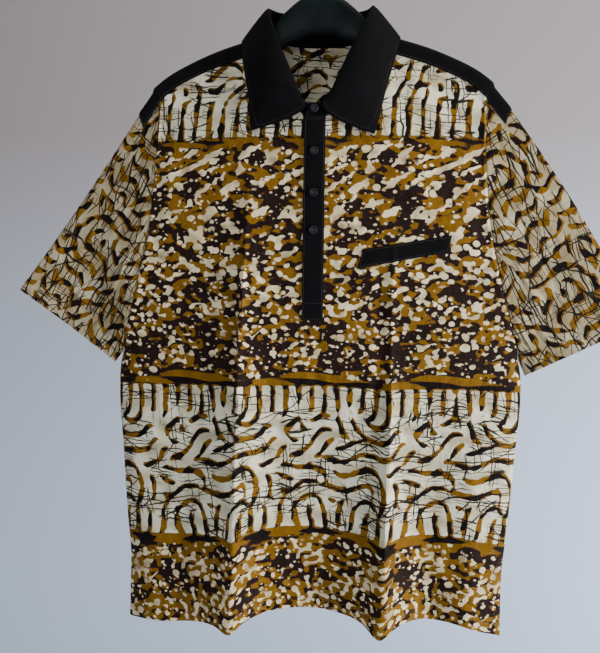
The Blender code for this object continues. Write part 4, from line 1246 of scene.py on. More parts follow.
def weave(tree, vector, pitch):
    """Crossing threads: two fine waves of one pitch, multiplied. A wave texture turns by 20 radians a
    unit, which its scale allows for."""
    waves = []
    for direction in ("X", "Y"):
        made = tree.nodes.new("ShaderNodeTexWave")
        made.bands_direction = direction
        put(tree, made, "Vector", vector)
        put(tree, made, "Scale", math.tau / (20 * pitch))
        put(tree, made, "Distortion", 0.6)
        waves.append(made.outputs["Fac"])
    return math_node(tree, "MULTIPLY", waves[0], waves[1])


def new_material(name):
    """An empty material with its node tree and its shader."""
    material = bpy.data.materials.new(name)
    material.use_nodes = True
    tree = material.node_tree
    return material, tree, tree.nodes["Principled BSDF"]


def cloth_vector(tree):
    """The cloth coordinates, in metres."""
    made = tree.nodes.new("ShaderNodeUVMap")
    made.uv_map = "cloth"
    return made.outputs[0]


def bump(tree, shader, height, distance, strength, under=None):
    """Relief from a height, so many metres deep, over another relief if one is given."""
    made = tree.nodes.new("ShaderNodeBump")
    put(tree, made, "Height", height)
    put(tree, made, "Distance", distance)
    put(tree, made, "Strength", strength)
    if under is not None:
        tree.links.new(under, made.inputs["Normal"])
    tree.links.new(made.outputs[0], shader.inputs["Normal"])
    return made.outputs[0]


# Layers of hairlines: their turn from the weft in radians, bands a metre, half width of a line as a
# share of its band, and the gate's level, of which a higher one leaves fewer and shorter lengths.
# The last two layers are short cracks that stand close together.
HAIRLINES = (
    (0.05, 92.0, 0.050, 0.42),
    (-0.17, 76.0, 0.042, 0.45),
    (0.36, 70.0, 0.038, 0.50),
    (1.52, 84.0, 0.044, 0.51),
    (-0.70, 62.0, 0.034, 0.53),
    (1.20, 56.0, 0.031, 0.54),
    (0.10, 220.0, 0.120, 0.58),
    (1.48, 210.0, 0.120, 0.62),
)

# Round dots: cells a metre and the largest dot's radius in cell widths
BROAD_DOTS = (84.0, 0.46)
SMALL_DOTS = (165.0, 0.36)
DARK_DOTS = (118.0, 0.38)

# What the ground's colour turns towards: where it is soiled, between the pebbles, and where stains and
# painted shade darken it
SOILED = (0.58, 0.56, 0.42, 1)
CREAMY = (0.95, 0.73, 0.40, 1)
STAINED_AND_SHADED = (0.36, 0.28, 0.15, 1)


def bent_vector(tree, cloth):
    """Cloth coordinates moved about by noise, up to a few millimetres, so that lines waver."""
    bent = tree.nodes.new("ShaderNodeVectorMath")
    bent.operation = "MULTIPLY_ADD"
    stray = tree.nodes.new("ShaderNodeTexNoise")
    put(tree, stray, "Vector", cloth)
    put(tree, stray, "Scale", 55.0)
    put(tree, stray, "Detail", 2.0)
    tree.links.new(stray.outputs["Color"], bent.inputs[0])
    put(tree, bent, 1, (0.007, 0.007, 0.0))
    tree.links.new(cloth, bent.inputs[2])
    return bent.outputs[0]


def strewn_dots(tree, fields, vector):
    """Masks of the pale dots, in two sizes, and of the dark dots near the pale ground's edges. Both
    lie only where the print's field for dots is over a half."""
    vector = scaled(tree, vector, (0.85, 1.1, 1))
    strewn = ramp(tree, fields["dots"], 0.45, 0.55)
    broad = ramp(tree, dot_layer(tree, vector, *BROAD_DOTS), -0.02, 0.02)
    small = ramp(tree, dot_layer(tree, vector, *SMALL_DOTS), -0.03, 0.03)
    pale = math_node(tree, "MULTIPLY", math_node(tree, "MAXIMUM", broad, small), strewn)
    moved = tree.nodes.new("ShaderNodeVectorMath")
    tree.links.new(vector, moved.inputs[0])
    moved.inputs[1].default_value = (0.31, 0.17, 0)
    dark = ramp(tree, dot_layer(tree, moved.outputs[0], *DARK_DOTS), -0.03, 0.03)
    near_edge = ramp(tree, fields["ground"], 0.15, 0.75, 1.0, 0.0)
    dark = math_node(tree, "MULTIPLY", math_node(tree, "MULTIPLY", dark, near_edge), strewn)
    return pale, dark


def ground_colour(tree, fields, cloth, colours, in_pebbles):
    """The pale ground: soiled in places, creamier between the pebbles, and turned beige by stains
    and painted shade.
    """
    soil = ramp(tree, noise(tree, cloth, 16.0, 3.0, 0.6), 0.35, 0.75, 0.0, 0.5)
    colour = mix(tree, soil, colours["ground"], SOILED)
    colour = mix(tree, math_node(tree, "MULTIPLY", in_pebbles, 0.7), colour, CREAMY)
    # Stains, and painted shade on the body, turn the ground a dull beige
    return mix(tree, ramp(tree, fields["stain"], 0.0, 1.0), colour, STAINED_AND_SHADED)


def ink_colours(tree, cloth, colours, in_pebbles):
    """The mottled ochre, and the dark ink, which is thin and wine-coloured in places and more so
    between the pebbles."""
    dark_ochre = tuple(value * 0.6 for value in colours["ochre"][:3]) + (1,)
    mottle = ramp(tree, noise(tree, cloth, 75.0, 4.0, 0.6), 0.3, 0.8)
    ochre = mix(tree, mottle, colours["ochre"], dark_ochre)
    thin = ramp(tree, noise(tree, cloth, 110.0, 3.0), 0.45, 0.8, 0, 0.5)
    ink = mix(tree, thin, colours["ink"], colours["wine"])
    ink = mix(tree, math_node(tree, "MULTIPLY", in_pebbles, 0.4), ink, colours["wine"])
    return ochre, ink


def printed_material(colours):
    """Waxed cotton. Fields that the cloth carries are cut at 0 into pale ground, ochre and dark ink,
    with wobbling edges. Over them lie pale and dark dots and long hairline cracks. Yarn shades it
    slightly, and rumples and the weave are its relief."""
    material, tree, shader = new_material("printed cotton")
    cloth = cloth_vector(tree)
    fields = {}
    for label in ("ground", "ink", "crack", "dots", "stain"):
        made = tree.nodes.new("ShaderNodeAttribute")
        made.attribute_name = label
        fields[label] = made.outputs["Fac"]
    bent = bent_vector(tree, cloth)

    # Wobbling edges, and a cut that is 0.18 wide in the fields' own measure
    fine_wobble = math_node(tree, "MULTIPLY_ADD", noise(tree, cloth, 300.0, 2.0), 0.36, -0.18)
    wobble = math_node(tree, "MULTIPLY_ADD", noise(tree, cloth, 130.0, 2.0), 0.7, -0.35)
    jitter = math_node(tree, "ADD", fine_wobble, wobble)
    ground = ramp(tree, math_node(tree, "ADD", fields["ground"], jitter), -0.09, 0.09)
    inked = ramp(tree, math_node(tree, "MULTIPLY_ADD", jitter, 0.9, fields["ink"]), -0.09, 0.09)
    pale_dots, dark_dots = strewn_dots(tree, fields, bent)
    lines = 0.0
    for layer in HAIRLINES:
        lines = math_node(tree, "MAXIMUM", hairlines(tree, bent, *layer), lines)
    lines = math_node(tree, "MULTIPLY", lines, ramp(tree, fields["crack"], 0.15, 0.50, 0.0, 0.97))

    # Colours, one over the other, with the ochre's border to the ink bled to wine
    in_pebbles = ramp(tree, fields["dots"], 0.2, 0.8)
    pale_colour = ground_colour(tree, fields, cloth, colours, in_pebbles)
    ochre, ink = ink_colours(tree, cloth, colours, in_pebbles)
    colour = mix(tree, inked, ochre, ink)
    border = ramp(tree, math_node(tree, "ABSOLUTE", fields["ink"]), 0.0, 0.30, 0.35, 0.0)
    colour = mix(tree, border, colour, colours["wine"])
    colour = mix(tree, math_node(tree, "MAXIMUM", ground, pale_dots), colour, pale_colour)
    colour = mix(tree, dark_dots, colour, ink)
    colour = mix(tree, lines, colour, colours["ink"])
    yarn = noise(tree, scaled(tree, cloth, (60, 900, 1)), 1.0, 2.0)
    colour = mix(tree, 1.0, colour, ramp(tree, yarn, 0.3, 0.7, 0.90, 1.0), "MULTIPLY")
    tree.links.new(colour, shader.inputs["Base Color"])
    rough = ramp(tree, noise(tree, cloth, 45.0, 3.0), 0.3, 0.7, 0.56, 0.72)
    tree.links.new(rough, shader.inputs["Roughness"])
    shader.inputs["Sheen Weight"].default_value = 0.012
    shader.inputs["Sheen Roughness"].default_value = 0.5
    shader.inputs["Specular IOR Level"].default_value = 0.09
    rumple = math_node(tree, "ADD", noise(tree, cloth, 28.0, 3.0, 0.55), noise(tree, cloth, 95.0, 2.0))
    broad = bump(tree, shader, rumple, 3.4 * MM, 0.7)
    bump(tree, shader, weave(tree, cloth, 0.42 * MM), 0.12 * MM, 0.7, broad)
    return material


def black_material(colours):
    """Black cotton: closely woven, faded in places, with lint and a faint bloom, and with painted
    shade between its threads.
    """
    material, tree, shader = new_material("black cotton")
    cloth = cloth_vector(tree)
    faded = tuple(value * 2.2 + 0.001 for value in colours["black"][:3]) + (1,)
    worn = ramp(tree, noise(tree, cloth, 40.0, 4.0, 0.6), 0.4, 0.8)
    colour = mix(tree, worn, colours["black"], faded)
    lint = ramp(tree, noise(tree, scaled(tree, cloth, (1, 5, 1), 0.7), 420.0, 1.0), 0.72, 0.79, 0.0, 0.4)
    colour = mix(tree, lint, colour, (0.07, 0.065, 0.07, 1))
    threads = weave(tree, cloth, 0.5 * MM)
    # Painted shade: darker between the threads of the weave
    colour = mix(tree, ramp(tree, threads, 0.0, 1.0, 0.35, 0.0), colour, (0.002, 0.002, 0.002, 1))
    tree.links.new(colour, shader.inputs["Base Color"])
    tree.links.new(ramp(tree, worn, 0, 1, 0.72, 0.86), shader.inputs["Roughness"])
    shader.inputs["Sheen Weight"].default_value = 0.010
    shader.inputs["Sheen Roughness"].default_value = 0.45
    shader.inputs["Specular IOR Level"].default_value = 0.07
    broad = bump(tree, shader, noise(tree, cloth, 60.0, 3.0), 1.2 * MM, 0.5)
    bump(tree, shader, threads, 0.14 * MM, 0.8, broad)
    return material


def thread_material(name, colour):
    """Spun sewing thread: fine twist and a slight shine. It is made once for each name."""
    if name in bpy.data.materials:
        return bpy.data.materials[name]
    material, tree, shader = new_material(name)
    place = tree.nodes.new("ShaderNodeTexCoord").outputs["Object"]
    fibre = noise(tree, place, 2600.0, 2.0)
    pale = tuple(min(value * 1.9 + 0.01, 1) for value in colour[:3]) + (1,)
    tree.links.new(mix(tree, fibre, colour, pale), shader.inputs["Base Color"])
    shader.inputs["Roughness"].default_value = 0.55
    shader.inputs["Sheen Weight"].default_value = 0.3
    bump(tree, shader, fibre, 0.1 * MM, 0.6)
    return material


def button_material(colours):
    """Dark cast resin: faint marbling, a rim paler by a painted highlight, fine scratches and a soft
    polish.
    """
    material, tree, shader = new_material("button resin")
    place = tree.nodes.new("ShaderNodeTexCoord").outputs["Object"]
    swirl = noise(tree, place, 260.0, 4.0, 0.6, 1.5)
    pale = tuple(value * 2.0 + 0.002 for value in colours["button"][:3]) + (1,)
    colour = mix(tree, ramp(tree, swirl, 0.35, 0.75), colours["button"], pale)
    rim = tree.nodes.new("ShaderNodeAttribute")
    rim.attribute_name = "rim"
    # Painted highlight: the rim turns paler, unevenly with the marbling
    painted_rim_highlight = math_node(tree, "MULTIPLY", rim.outputs["Fac"], ramp(tree, swirl, 0.25, 0.6, 0.35, 0.9))
    tree.links.new(mix(tree, painted_rim_highlight, colour, (0.024, 0.023, 0.027, 1)), shader.inputs["Base Color"])
    scratch = noise(tree, scaled(tree, place, (1, 1, 14), 0.4), 900.0, 2.0)
    tree.links.new(ramp(tree, scratch, 0.3, 0.7, 0.34, 0.5), shader.inputs["Roughness"])
    shader.inputs["Specular IOR Level"].default_value = 0.16
    bump(tree, shader, scratch, 0.05 * MM, 0.5)
    return material


def hanger_material(colours):
    """Moulded plastic: dark green-black, finely grained, scuffed in streaks."""
    material, tree, shader = new_material("hanger plastic")
    place = tree.nodes.new("ShaderNodeTexCoord").outputs["Object"]
    tone = ramp(tree, noise(tree, place, 22.0, 4.0, 0.6), 0.35, 0.75)
    pale = tuple(value * 1.8 + 0.004 for value in colours["hanger"][:3]) + (1,)
    colour = mix(tree, tone, colours["hanger"], pale)
    scuff = ramp(tree, noise(tree, scaled(tree, place, (1, 1, 6), 0.3), 160.0, 3.0), 0.62, 0.74, 0.0, 0.35)
    tree.links.new(mix(tree, scuff, colour, (0.03, 0.035, 0.035, 1)), shader.inputs["Base Color"])
    shader.inputs["Specular IOR Level"].default_value = 0.11
    rough = ramp(tree, noise(tree, place, 70.0, 3.0), 0.3, 0.7, 0.30, 0.46)
    tree.links.new(rough, shader.inputs["Roughness"])
    grain = noise(tree, place, 1500.0, 2.0)
    bump(tree, shader, grain, 0.09 * MM, 0.6)
    return material


def lathe_button(name, centre, outward, material):
    """A four-hole button as one closed disc: a height over each radius, with a bell-shaped rim at
    0.84 of the radius, a quarter round outside 0.82 of it, and four wells 1.15 mm deep. The rim is
    also an attribute, for the material."""
    rings = np.concatenate([np.linspace(0, 0.72, 25), np.linspace(0.72, 1, 12)[1:]])
    turn = np.arange(BUTTON_SIDES) * math.tau / BUTTON_SIDES
    radius = rings[:, None] * BUTTON_RADIUS + 0 * turn
    x = radius * np.cos(turn)
    y = radius * np.sin(turn)
    share = radius / BUTTON_RADIUS
    face = 1.45 + 0.55 * bell((share - 0.84) / 0.13) + 0.12 * share**2
    edge = np.sqrt(np.clip(1 - ((share - 0.82) / 0.18).clip(0, 1) ** 2, 0, 1))
    height = face * (0.35 + 0.65 * edge) * MM
    for side_x, side_y in ((1, 1), (-1, 1), (-1, -1), (1, -1)):
        away = np.hypot(x / MM - side_x * BUTTON_HOLE_PLACE, y / MM - side_y * BUTTON_HOLE_PLACE)
        height = height - 1.15 * MM * (1 - smooth_step((away - 0.42) / 0.32))
    under = 0.25 * MM * smooth_step((share - 0.7) / 0.3)
    top = np.stack([x, y, height], axis=-1)
    low = np.stack([x, y, under], axis=-1)
    grid = np.concatenate([top, low[::-1]])
    outward = np.asarray(outward, float) / np.linalg.norm(outward)
    turned = Vector(outward).to_track_quat("Z", "Y").to_matrix()
    grid = grid @ np.array(turned).T + np.asarray(centre)
    quads = ring_quads(*grid.shape[:2])[:, ::-1]
    mesh = bpy.data.meshes.new(name)
    mesh.from_pydata(grid.reshape(-1, 3).tolist(), [], quads.tolist())
    rim = bell((share - 0.84) / 0.1)
    rim = np.concatenate([rim, 0 * rim])
    mesh.attributes.new("rim", "FLOAT", "POINT").data.foreach_set("value", rim.astype(np.float32).ravel())
    merge_close(mesh)
    return place_mesh(name, mesh, material)


def merge_close(mesh):
    """Joins a mesh's doubled points and turns its faces outwards."""
    build = bmesh.new()
    build.from_mesh(mesh)
    bmesh.ops.remove_doubles(build, verts=build.verts, dist=1e-7)
    bmesh.ops.recalc_face_normals(build, faces=build.faces)
    build.to_mesh(mesh)
    build.free()


def tube_mesh(path, radius, sides, squash=1.0):
    """Points and faces of a round rod along a path in the hook's plane, open at both ends: at each
    point a circle, or an ellipse, across the path."""
    path = np.asarray(path, float)
    run = unit(np.gradient(path, axis=0))
    side = unit(np.cross(run, np.array([0, 1.0, 0]) + 1e-4))
    other = np.cross(run, side)
    turn = np.arange(sides) * math.tau / sides
    radius = np.broadcast_to(np.asarray(radius, float), len(path))
    ring = side[:, None] * np.cos(turn)[:, None] + other[:, None] * np.sin(turn)[:, None] * squash
    points = path[:, None] + ring * radius[:, None, None]
    return points.reshape(-1, 3), ring_quads(len(path), sides)


def hook_path():
    """The hook's middle line: up out of the neck, a cubic bend that leaves and arrives at a given
    pace, then an arc round the rail."""
    radius = HOOK_INSIDE_RADIUS + HOOK_ROD_RADIUS
    centre = np.array([0, 0, -HOOK_INSIDE_RADIUS])
    angles = np.radians(np.linspace(-50, 213.5, 60))
    arc = centre + radius * np.stack([np.cos(angles), 0 * angles, np.sin(angles)], axis=1)
    start = np.array([0, 0, -58 * MM])
    leave = np.array([0, 0, 1.0]) * HOOK_BEND_PACE
    arrive = np.array([-math.sin(angles[0]), 0, math.cos(angles[0])]) * HOOK_BEND_PACE
    share = np.linspace(0, 1, 22)[1:-1, None]
    bend = (
        (1 + 2 * share) * (1 - share) ** 2 * start
        + share**2 * (3 - 2 * share) * arc[0]
        + share * (1 - share) ** 2 * leave
        - share**2 * (1 - share) * arrive
    )
    stem = np.linspace([0, 0, -90 * MM], start, 8)
    return np.concatenate([stem, bend, arc])


def hanger_piece(material):
    """The moulded hanger: oval sections along its length that round off at its ends and have a
    parting line, a round hook with a rounded end, and a short collar 2 mm proud where the hook
    leaves the body."""
    arm_end = np.array((207, 209, 210.6, 211.6, 212))
    half = np.concatenate([np.linspace(0, 80, 34), np.linspace(80, 205, 40)[1:], arm_end])
    x = np.concatenate([-half[:0:-1], half]) * MM
    reach = np.abs(x)
    low = curve_through(HANGER_SECTIONS, "x", "low", reach / MM) * MM
    thick = curve_through(HANGER_SECTIONS, "x", "half_thick", reach / MM) * MM
    neck = curve_through(HANGER_NECK, "x", "top", reach / MM) * MM
    arms = top_z(x, FRONT_NECKLINE) - HANGER_CLEARANCE
    share = smooth_step((reach - NECK_HALF_WIDTH + 3 * MM) / (6 * MM))
    top = neck * (1 - share) + arms * share
    end = np.sqrt(np.clip(1 - ((reach - 205 * MM) / (7.2 * MM)).clip(0, 1) ** 2, 0.02, 1))
    turn = np.arange(ARM_SIDES) * math.tau / ARM_SIDES
    middle = (top + low) / 2
    height = (top - low) / 2 * (0.4 + 0.6 * end)
    side = np.sign(np.cos(turn)) * np.abs(np.cos(turn)) ** 0.8
    rise = np.sign(np.sin(turn)) * np.abs(np.sin(turn)) ** 0.9
    ridge = 1 + 0.02 * (np.abs(np.cos(turn)) < 0.05)
    sections = np.stack(
        [
            x[:, None] + 0 * turn,
            thick[:, None] * end[:, None] * side,
            middle[:, None] + height[:, None] * rise * ridge,
        ],
        axis=-1,
    )
    first = sections[:1].mean(axis=1, keepdims=True) + 0 * sections[:1]
    last = sections[-1:].mean(axis=1, keepdims=True) + 0 * sections[-1:]
    sections = np.concatenate([first, sections, last])
    quads = ring_quads(len(sections), ARM_SIDES)
    path = hook_path()
    onward = unit(path[-1] - path[-2])
    over_end = np.linspace(0, 1, 9)[1:]
    line = np.concatenate([path, path[-1] + onward * over_end[:, None] * 4 * MM])
    size = np.full(len(line), HOOK_ROD_RADIUS)
    size[-len(over_end) :] = HOOK_ROD_RADIUS * np.sqrt(1 - (over_end * 0.999) ** 2)
    rod, rod_faces = tube_mesh(line, size, ROD_SIDES)
    ring_z = np.linspace(-86, -74, 13)
    ring_radius = HOOK_ROD_RADIUS + 2 * MM * np.sqrt(np.clip(1 - ((ring_z + 80) / 6) ** 2, 0, 1))
    ring_path = np.stack([0 * ring_z, 0 * ring_z, ring_z * MM], axis=1)
    collar, collar_faces = tube_mesh(ring_path, ring_radius, ROD_SIDES)
    body = sections.reshape(-1, 3)
    faces = np.concatenate([quads, rod_faces + len(body), collar_faces + len(body) + len(rod)])
    mesh = bpy.data.meshes.new("hanger_moulded")
    mesh.from_pydata(np.concatenate([body, rod, collar]).tolist(), [], faces.tolist())
    merge_close(mesh)
    return place_mesh("hanger_moulded", mesh, material)


@functools.lru_cache(maxsize=1)
def body_grids():
    """Both panels' grids and their smooth outward normals, worked out once."""
    front = (FRONT_NECKLINE, FRONT_HEM, FRONT_HANG, FRONT_FOLDS, FRONT_NECK_DEPTH, FRONT_CREASES)
    back = (BACK_NECKLINE, BACK_HEM, BACK_HANG, BACK_FOLDS, BACK_NECK_DEPTH, BACK_CREASES)
    made = {}
    for name, form, side in (("front", front, -1), ("back", back, 1)):
        points, cloth = panel_grid(*form, side < 0)
        made[name] = (points, cloth, smooth_normals(outward_normals(points, np.array([0, side, 0]))))
    return made


@functools.lru_cache(maxsize=1)
def print_fields():
    """The body's and the sleeves' print, worked out once."""
    return body_print(), sleeve_print()


def material_named(name, build, colours):
    """The material of that name, built on first use."""
    return bpy.data.materials.get(name) or build(colours)


def build_panels(sizes, colours):
    """The printed front and back."""
    grids = body_grids()
    fields = print_fields()[0]
    material = material_named("printed cotton", printed_material, colours)
    for name, shift in (("front", 0.0), ("back", sizes.back_shift)):
        points, cloth, normal = grids[name]
        inner = points - normal * CLOTH
        node_name = name + "_panel"
        item = cloth_mesh(node_name + "_cloth", points, inner, cloth, material, fields=fields, shift=shift)
        finish_piece(item, "printed_cotton", node_name)


def build_sleeves(sizes, colours):
    """Both printed sleeves, with the print moved 50 mm outwards along each."""
    grids = body_grids()
    fields = print_fields()[1]
    material = material_named("printed cotton", printed_material, colours)
    for name, form in SLEEVES.items():
        points, cloth, normal, _ = sleeve_grid(grids["front"][0], grids["back"][0], **form)
        inner = points - smooth_normals(normal, ring=True) * CLOTH
        shift = 50 * MM * form["side"]
        item = cloth_mesh(name + "_cloth", points, inner, cloth, material, True, fields, shift)
        finish_piece(item, "printed_cotton", name)


def strip_grid(side):
    """Points under a shoulder strip: across the ridge from the back to the front, and outwards
    from the collar along the shoulder and on over the sleeve's top."""
    grids = body_grids()
    front, back = grids["front"][0], grids["back"][0]
    columns = np.flatnonzero(side * front[0, :, 0] >= STRIP_START)
    if side < 0:
        columns = columns[::-1]
    ridge = front[0, columns] * np.array([1, 0, 1])
    body = np.concatenate([back[STRIP_ROW:0:-1, columns], ridge[None], front[1 : STRIP_ROW + 1, columns]])
    form = SLEEVES["sleeve_left" if side > 0 else "sleeve_right"]
    points, _, _, alongs = sleeve_grid(front, back, **form)
    reach = np.flatnonzero((alongs > 0.004) & (alongs <= STRIP_REACH))
    rings = points[reach]
    sleeve = np.concatenate([rings[:, -STRIP_ROW:], rings[:, : STRIP_ROW + 1]], axis=1).transpose(1, 0, 2)
    return np.concatenate([body, sleeve], axis=1)


def build_strips(sizes, colours):
    """The black bands over the shoulder seams, with their stitches."""
    material = material_named("black cotton", black_material, colours)
    thread = thread_material("dark thread", colours["thread"])
    for name, side in (("shoulder_strip_right", -1), ("shoulder_strip_left", 1)):
        base = strip_grid(side)
        normal = smooth_normals(smooth_normals(outward_normals(base, np.array([0, 0, 1.0]))))
        item, outer = laid_piece(name + "_cloth", base + normal * LAY, normal, material)
        finish_piece(item, "black_cotton", name)
        lines = border_line(outer, BAND_STITCH, (0, 0, 1))
        finish_piece(thread_mesh(name + "_stitches", lines, thread, sizes.stitch_pitch), "black_cotton")


def build_bands(sizes, colours):
    """The placket down the front opening, and the slanted welt on the chest."""
    material = material_named("black cotton", black_material, colours)
    thread = thread_material("dark thread", colours["thread"])
    points, _, normal = body_grids()["front"]
    middle = points.shape[1] // 2
    column = slice(middle - LAP_COLUMNS, middle + LAP_COLUMNS + 1)
    across = np.linspace(middle - LAP_COLUMNS, middle + LAP_COLUMNS, 27)
    last = np.interp(-PLACKET_FOOT_Z, -points[:, middle, 2], np.arange(len(points)))
    down = np.concatenate([np.linspace(0, 12, 24), np.linspace(12, last, 150)[1:]])
    row, over = np.meshgrid(down, across, indexing="ij")
    base = grid_at(points, row, over)
    # Its first row goes up under the collar stand
    base[0, :, 2] += 1.2 * MM
    out = unit(grid_at(normal, row, over))
    item, outer = laid_piece("placket_cloth", base, out, material)
    finish_piece(item, "black_cotton", "placket")
    lines = border_line(outer, BAND_STITCH, (0, -1, 0))
    box_row = np.interp(-(PLACKET_FOOT_Z + 22 * MM), -outer[:, 13, 2], np.arange(len(outer)))
    lines.append(grid_line(outer, np.full(40, box_row), np.linspace(2.6, 23.4, 40), away=(0, -1, 0)))
    finish_piece(thread_mesh("placket_stitches", lines, thread, sizes.stitch_pitch), "black_cotton")

    corners = np.array(WELT_CORNERS) * MM
    share = np.linspace(0, 1, 76)
    down = np.linspace(0, 1, 25)[:, None]
    top = corners[0] + (corners[1] - corners[0]) * share[:, None]
    foot = corners[3] + (corners[2] - corners[3]) * share[:, None]
    spot = top[None] + (foot - top)[None] * down[..., None]
    row, over = find_on(points, spot[..., 0], spot[..., 1])
    base = grid_at(points, row, over)
    out = unit(grid_at(normal, row, over))
    item, outer = laid_piece("pocket_welt_cloth", base, out, material, WELT_STITCH)
    finish_piece(item, "black_cotton", "pocket_welt")
    lines = border_line(outer, WELT_STITCH, (0, -1, 0))
    finish_piece(thread_mesh("pocket_welt_stitches", lines, thread, sizes.stitch_pitch), "black_cotton")


def build_collar(sizes, colours):
    """The collar's stand and its leaf, with their stitches."""
    material = material_named("black cotton", black_material, colours)
    thread = thread_material("dark thread", colours["thread"])
    grids = body_grids()
    rows, inward = stand_grid(grids["front"][0], grids["back"][0])
    item, outer = trim_shell("collar_stand_cloth", rows, inward, material, STAND_STITCH)
    finish_piece(item, "black_cotton", "collar_stand")
    lines = border_line(outer, STAND_STITCH, (0, 0, 0))
    rows, inward = leaf_grid()
    item, outer = trim_shell("collar_leaf_cloth", rows, inward, material, LEAF_STITCH)
    finish_piece(item, "black_cotton", "collar_leaf")
    lines += border_line(outer, LEAF_STITCH, (0, 0, 0), skip_top=True)
    finish_piece(thread_mesh("collar_stitches", lines, thread, sizes.stitch_pitch), "black_cotton")


def build_buttons(sizes, colours):
    """Four buttons, three down the placket and one at the neck, each with two double threads."""
    material = material_named("button resin", button_material, colours)
    thread = thread_material("button thread", colours["button_thread"])
    points, _, normal = body_grids()["front"]
    middle = points.shape[1] // 2
    spots = {}
    for name, height in BUTTON_HEIGHTS.items():
        row = np.interp(-height, -points[:, middle, 2], np.arange(len(points)))
        here = grid_at(points, np.array([row]), np.array([float(middle)]))[0]
        out = grid_at(normal, np.array([row]), np.array([float(middle)]))[0]
        spots[name] = (here + out * (LAY + TRIM + 0.3 * MM), out)
    spots["button_neck"] = (np.array([0, -NECK_BUTTON_REACH, NECK_BUTTON_Z]), np.array([0, -1.0, 0.12]))
    for name, (place, out) in spots.items():
        item = lathe_button(name + "_resin", place, out, material)
        finish_piece(item, "button", name)
        out = unit(out)
        side = unit(np.cross(out, [0, 0, 1.0]))
        rise = np.cross(side, out)
        lines = []
        for across in (-BUTTON_HOLE_PLACE, BUTTON_HOLE_PLACE):
            run = np.linspace(-BUTTON_HOLE_PLACE, BUTTON_HOLE_PLACE, 9)[:, None] * rise * MM
            arch = (0.75 + 0.55 * np.cos(np.linspace(-1.2, 1.2, 9)))[:, None] * out * MM
            for strand in (-0.22, 0.22):
                line = place + side * (across + strand) * MM + run + arch
                lines.append((line, np.tile(out, (9, 1))))
        finish_piece(thread_mesh(name + "_thread", lines, thread, 3 * MM, 2.9 * MM, 0.24 * MM), "button")


def build_stitches(sizes, colours):
    """The machine stitching of the hems and side vents."""
    thread = thread_material("seam thread", colours["seam_thread"])
    lines = []
    for name, hem, side in (("front", FRONT_HEM, -1), ("back", BACK_HEM, 1)):
        points = body_grids()[name][0]
        columns = points.shape[1]
        bottom = curve_through(hem, "x", "z", panel_x(COLUMN_SHARES, HEM_Z) / MM) * MM
        share = 1 - HEM_STITCH * MM / (ARMPIT_Z - bottom)
        row = ARMPIT_ROW + LOW_STEPS * share
        fine = np.linspace(2, columns - 3, 500)
        rows = np.interp(fine, np.arange(columns), row)
        lines.append(grid_line(points, rows, fine, away=(0, side, 0)))
        top_share = (ARMPIT_Z - VENT_TOP_Z) / (ARMPIT_Z - bottom[0])
        upright = np.linspace(ARMPIT_ROW + LOW_STEPS * top_share, row[0], 60)
        for edge in (-1, 1):
            share = edge * (PANEL_HALF_WIDTH - 6 * MM) / PANEL_HALF_WIDTH
            place = np.interp(share, COLUMN_SHARES, np.arange(columns))
            lines.append(grid_line(points, upright, np.full(60, place), away=(0, side, 0)))
    finish_piece(thread_mesh("body_stitches", lines, thread, sizes.stitch_pitch), "printed_cotton")
    lines = []
    for form in SLEEVES.values():
        points, _, normal, alongs = sleeve_grid(body_grids()["front"][0], body_grids()["back"][0], **form)
        row = np.interp(1 - CUFF_STITCH / SLEEVE_RUN, alongs, np.arange(len(alongs)))
        closed = np.concatenate([points, points[:, :1]], axis=1)
        closed_normal = np.concatenate([normal, normal[:, :1]], axis=1)
        fine = np.linspace(0, closed.shape[1] - 1.01, 500)
        row = np.full(len(fine), row)
        lines.append((grid_at(closed, row, fine), grid_at(closed_normal, row, fine)))
    finish_piece(thread_mesh("sleeve_stitches", lines, thread, sizes.stitch_pitch), "printed_cotton")


def build_hanger(sizes, colours):
    """The moulded hanger with its hook."""
    item = hanger_piece(material_named("hanger plastic", hanger_material, colours))
    finish_piece(item, "hanger", "hanger")


def backdrop(colours):
    """A floor that curves up into a wall, in one sweep: two straight lines joined by a quarter
    circle. Its paper holds painted light: brighter and bluer low down, darker higher up."""
    floor, wall, radius = BACKDROP_FLOOR_Z, BACKDROP_WALL_Y, BACKDROP_RADIUS
    turn = np.linspace(-math.pi / 2, 0, 30)
    curve = np.stack([wall - radius * (1 - np.cos(turn)), floor + radius * (1 + np.sin(turn))], axis=1)
    line = np.concatenate([[[-5.0, floor]], curve, [[wall, 5.0]]])
    x = np.linspace(-7, 7, 2)
    grid = np.array([[(across, y, z) for across in x] for y, z in line])
    count = len(line)
    faces = [(2 * row, 2 * row + 1, 2 * row + 3, 2 * row + 2) for row in range(count - 1)]
    mesh = bpy.data.meshes.new("backdrop")
    mesh.from_pydata(grid.reshape(-1, 3).tolist(), [], faces)
    material, tree, shader = new_material("backdrop paper")
    place = tree.nodes.new("ShaderNodeTexCoord").outputs["Object"]
    axes = tree.nodes.new("ShaderNodeSeparateXYZ")
    tree.links.new(place, axes.inputs[0])
    # Painted light: brighter and bluer near the floor, darker higher up
    height = ramp(tree, axes.outputs[2], -1.9, 0.3)
    paper = mix(tree, height, colours["backdrop_low"], colours["backdrop_high"])
    tree.links.new(paper, shader.inputs["Base Color"])
    shader.inputs["Roughness"].default_value = 0.9
    shader.inputs["Specular IOR Level"].default_value = 0.1
    mesh.materials.append(material)
    mesh.shade_smooth()
    item = bpy.data.objects.new("backdrop", mesh)
    bpy.context.scene.collection.objects.link(item)


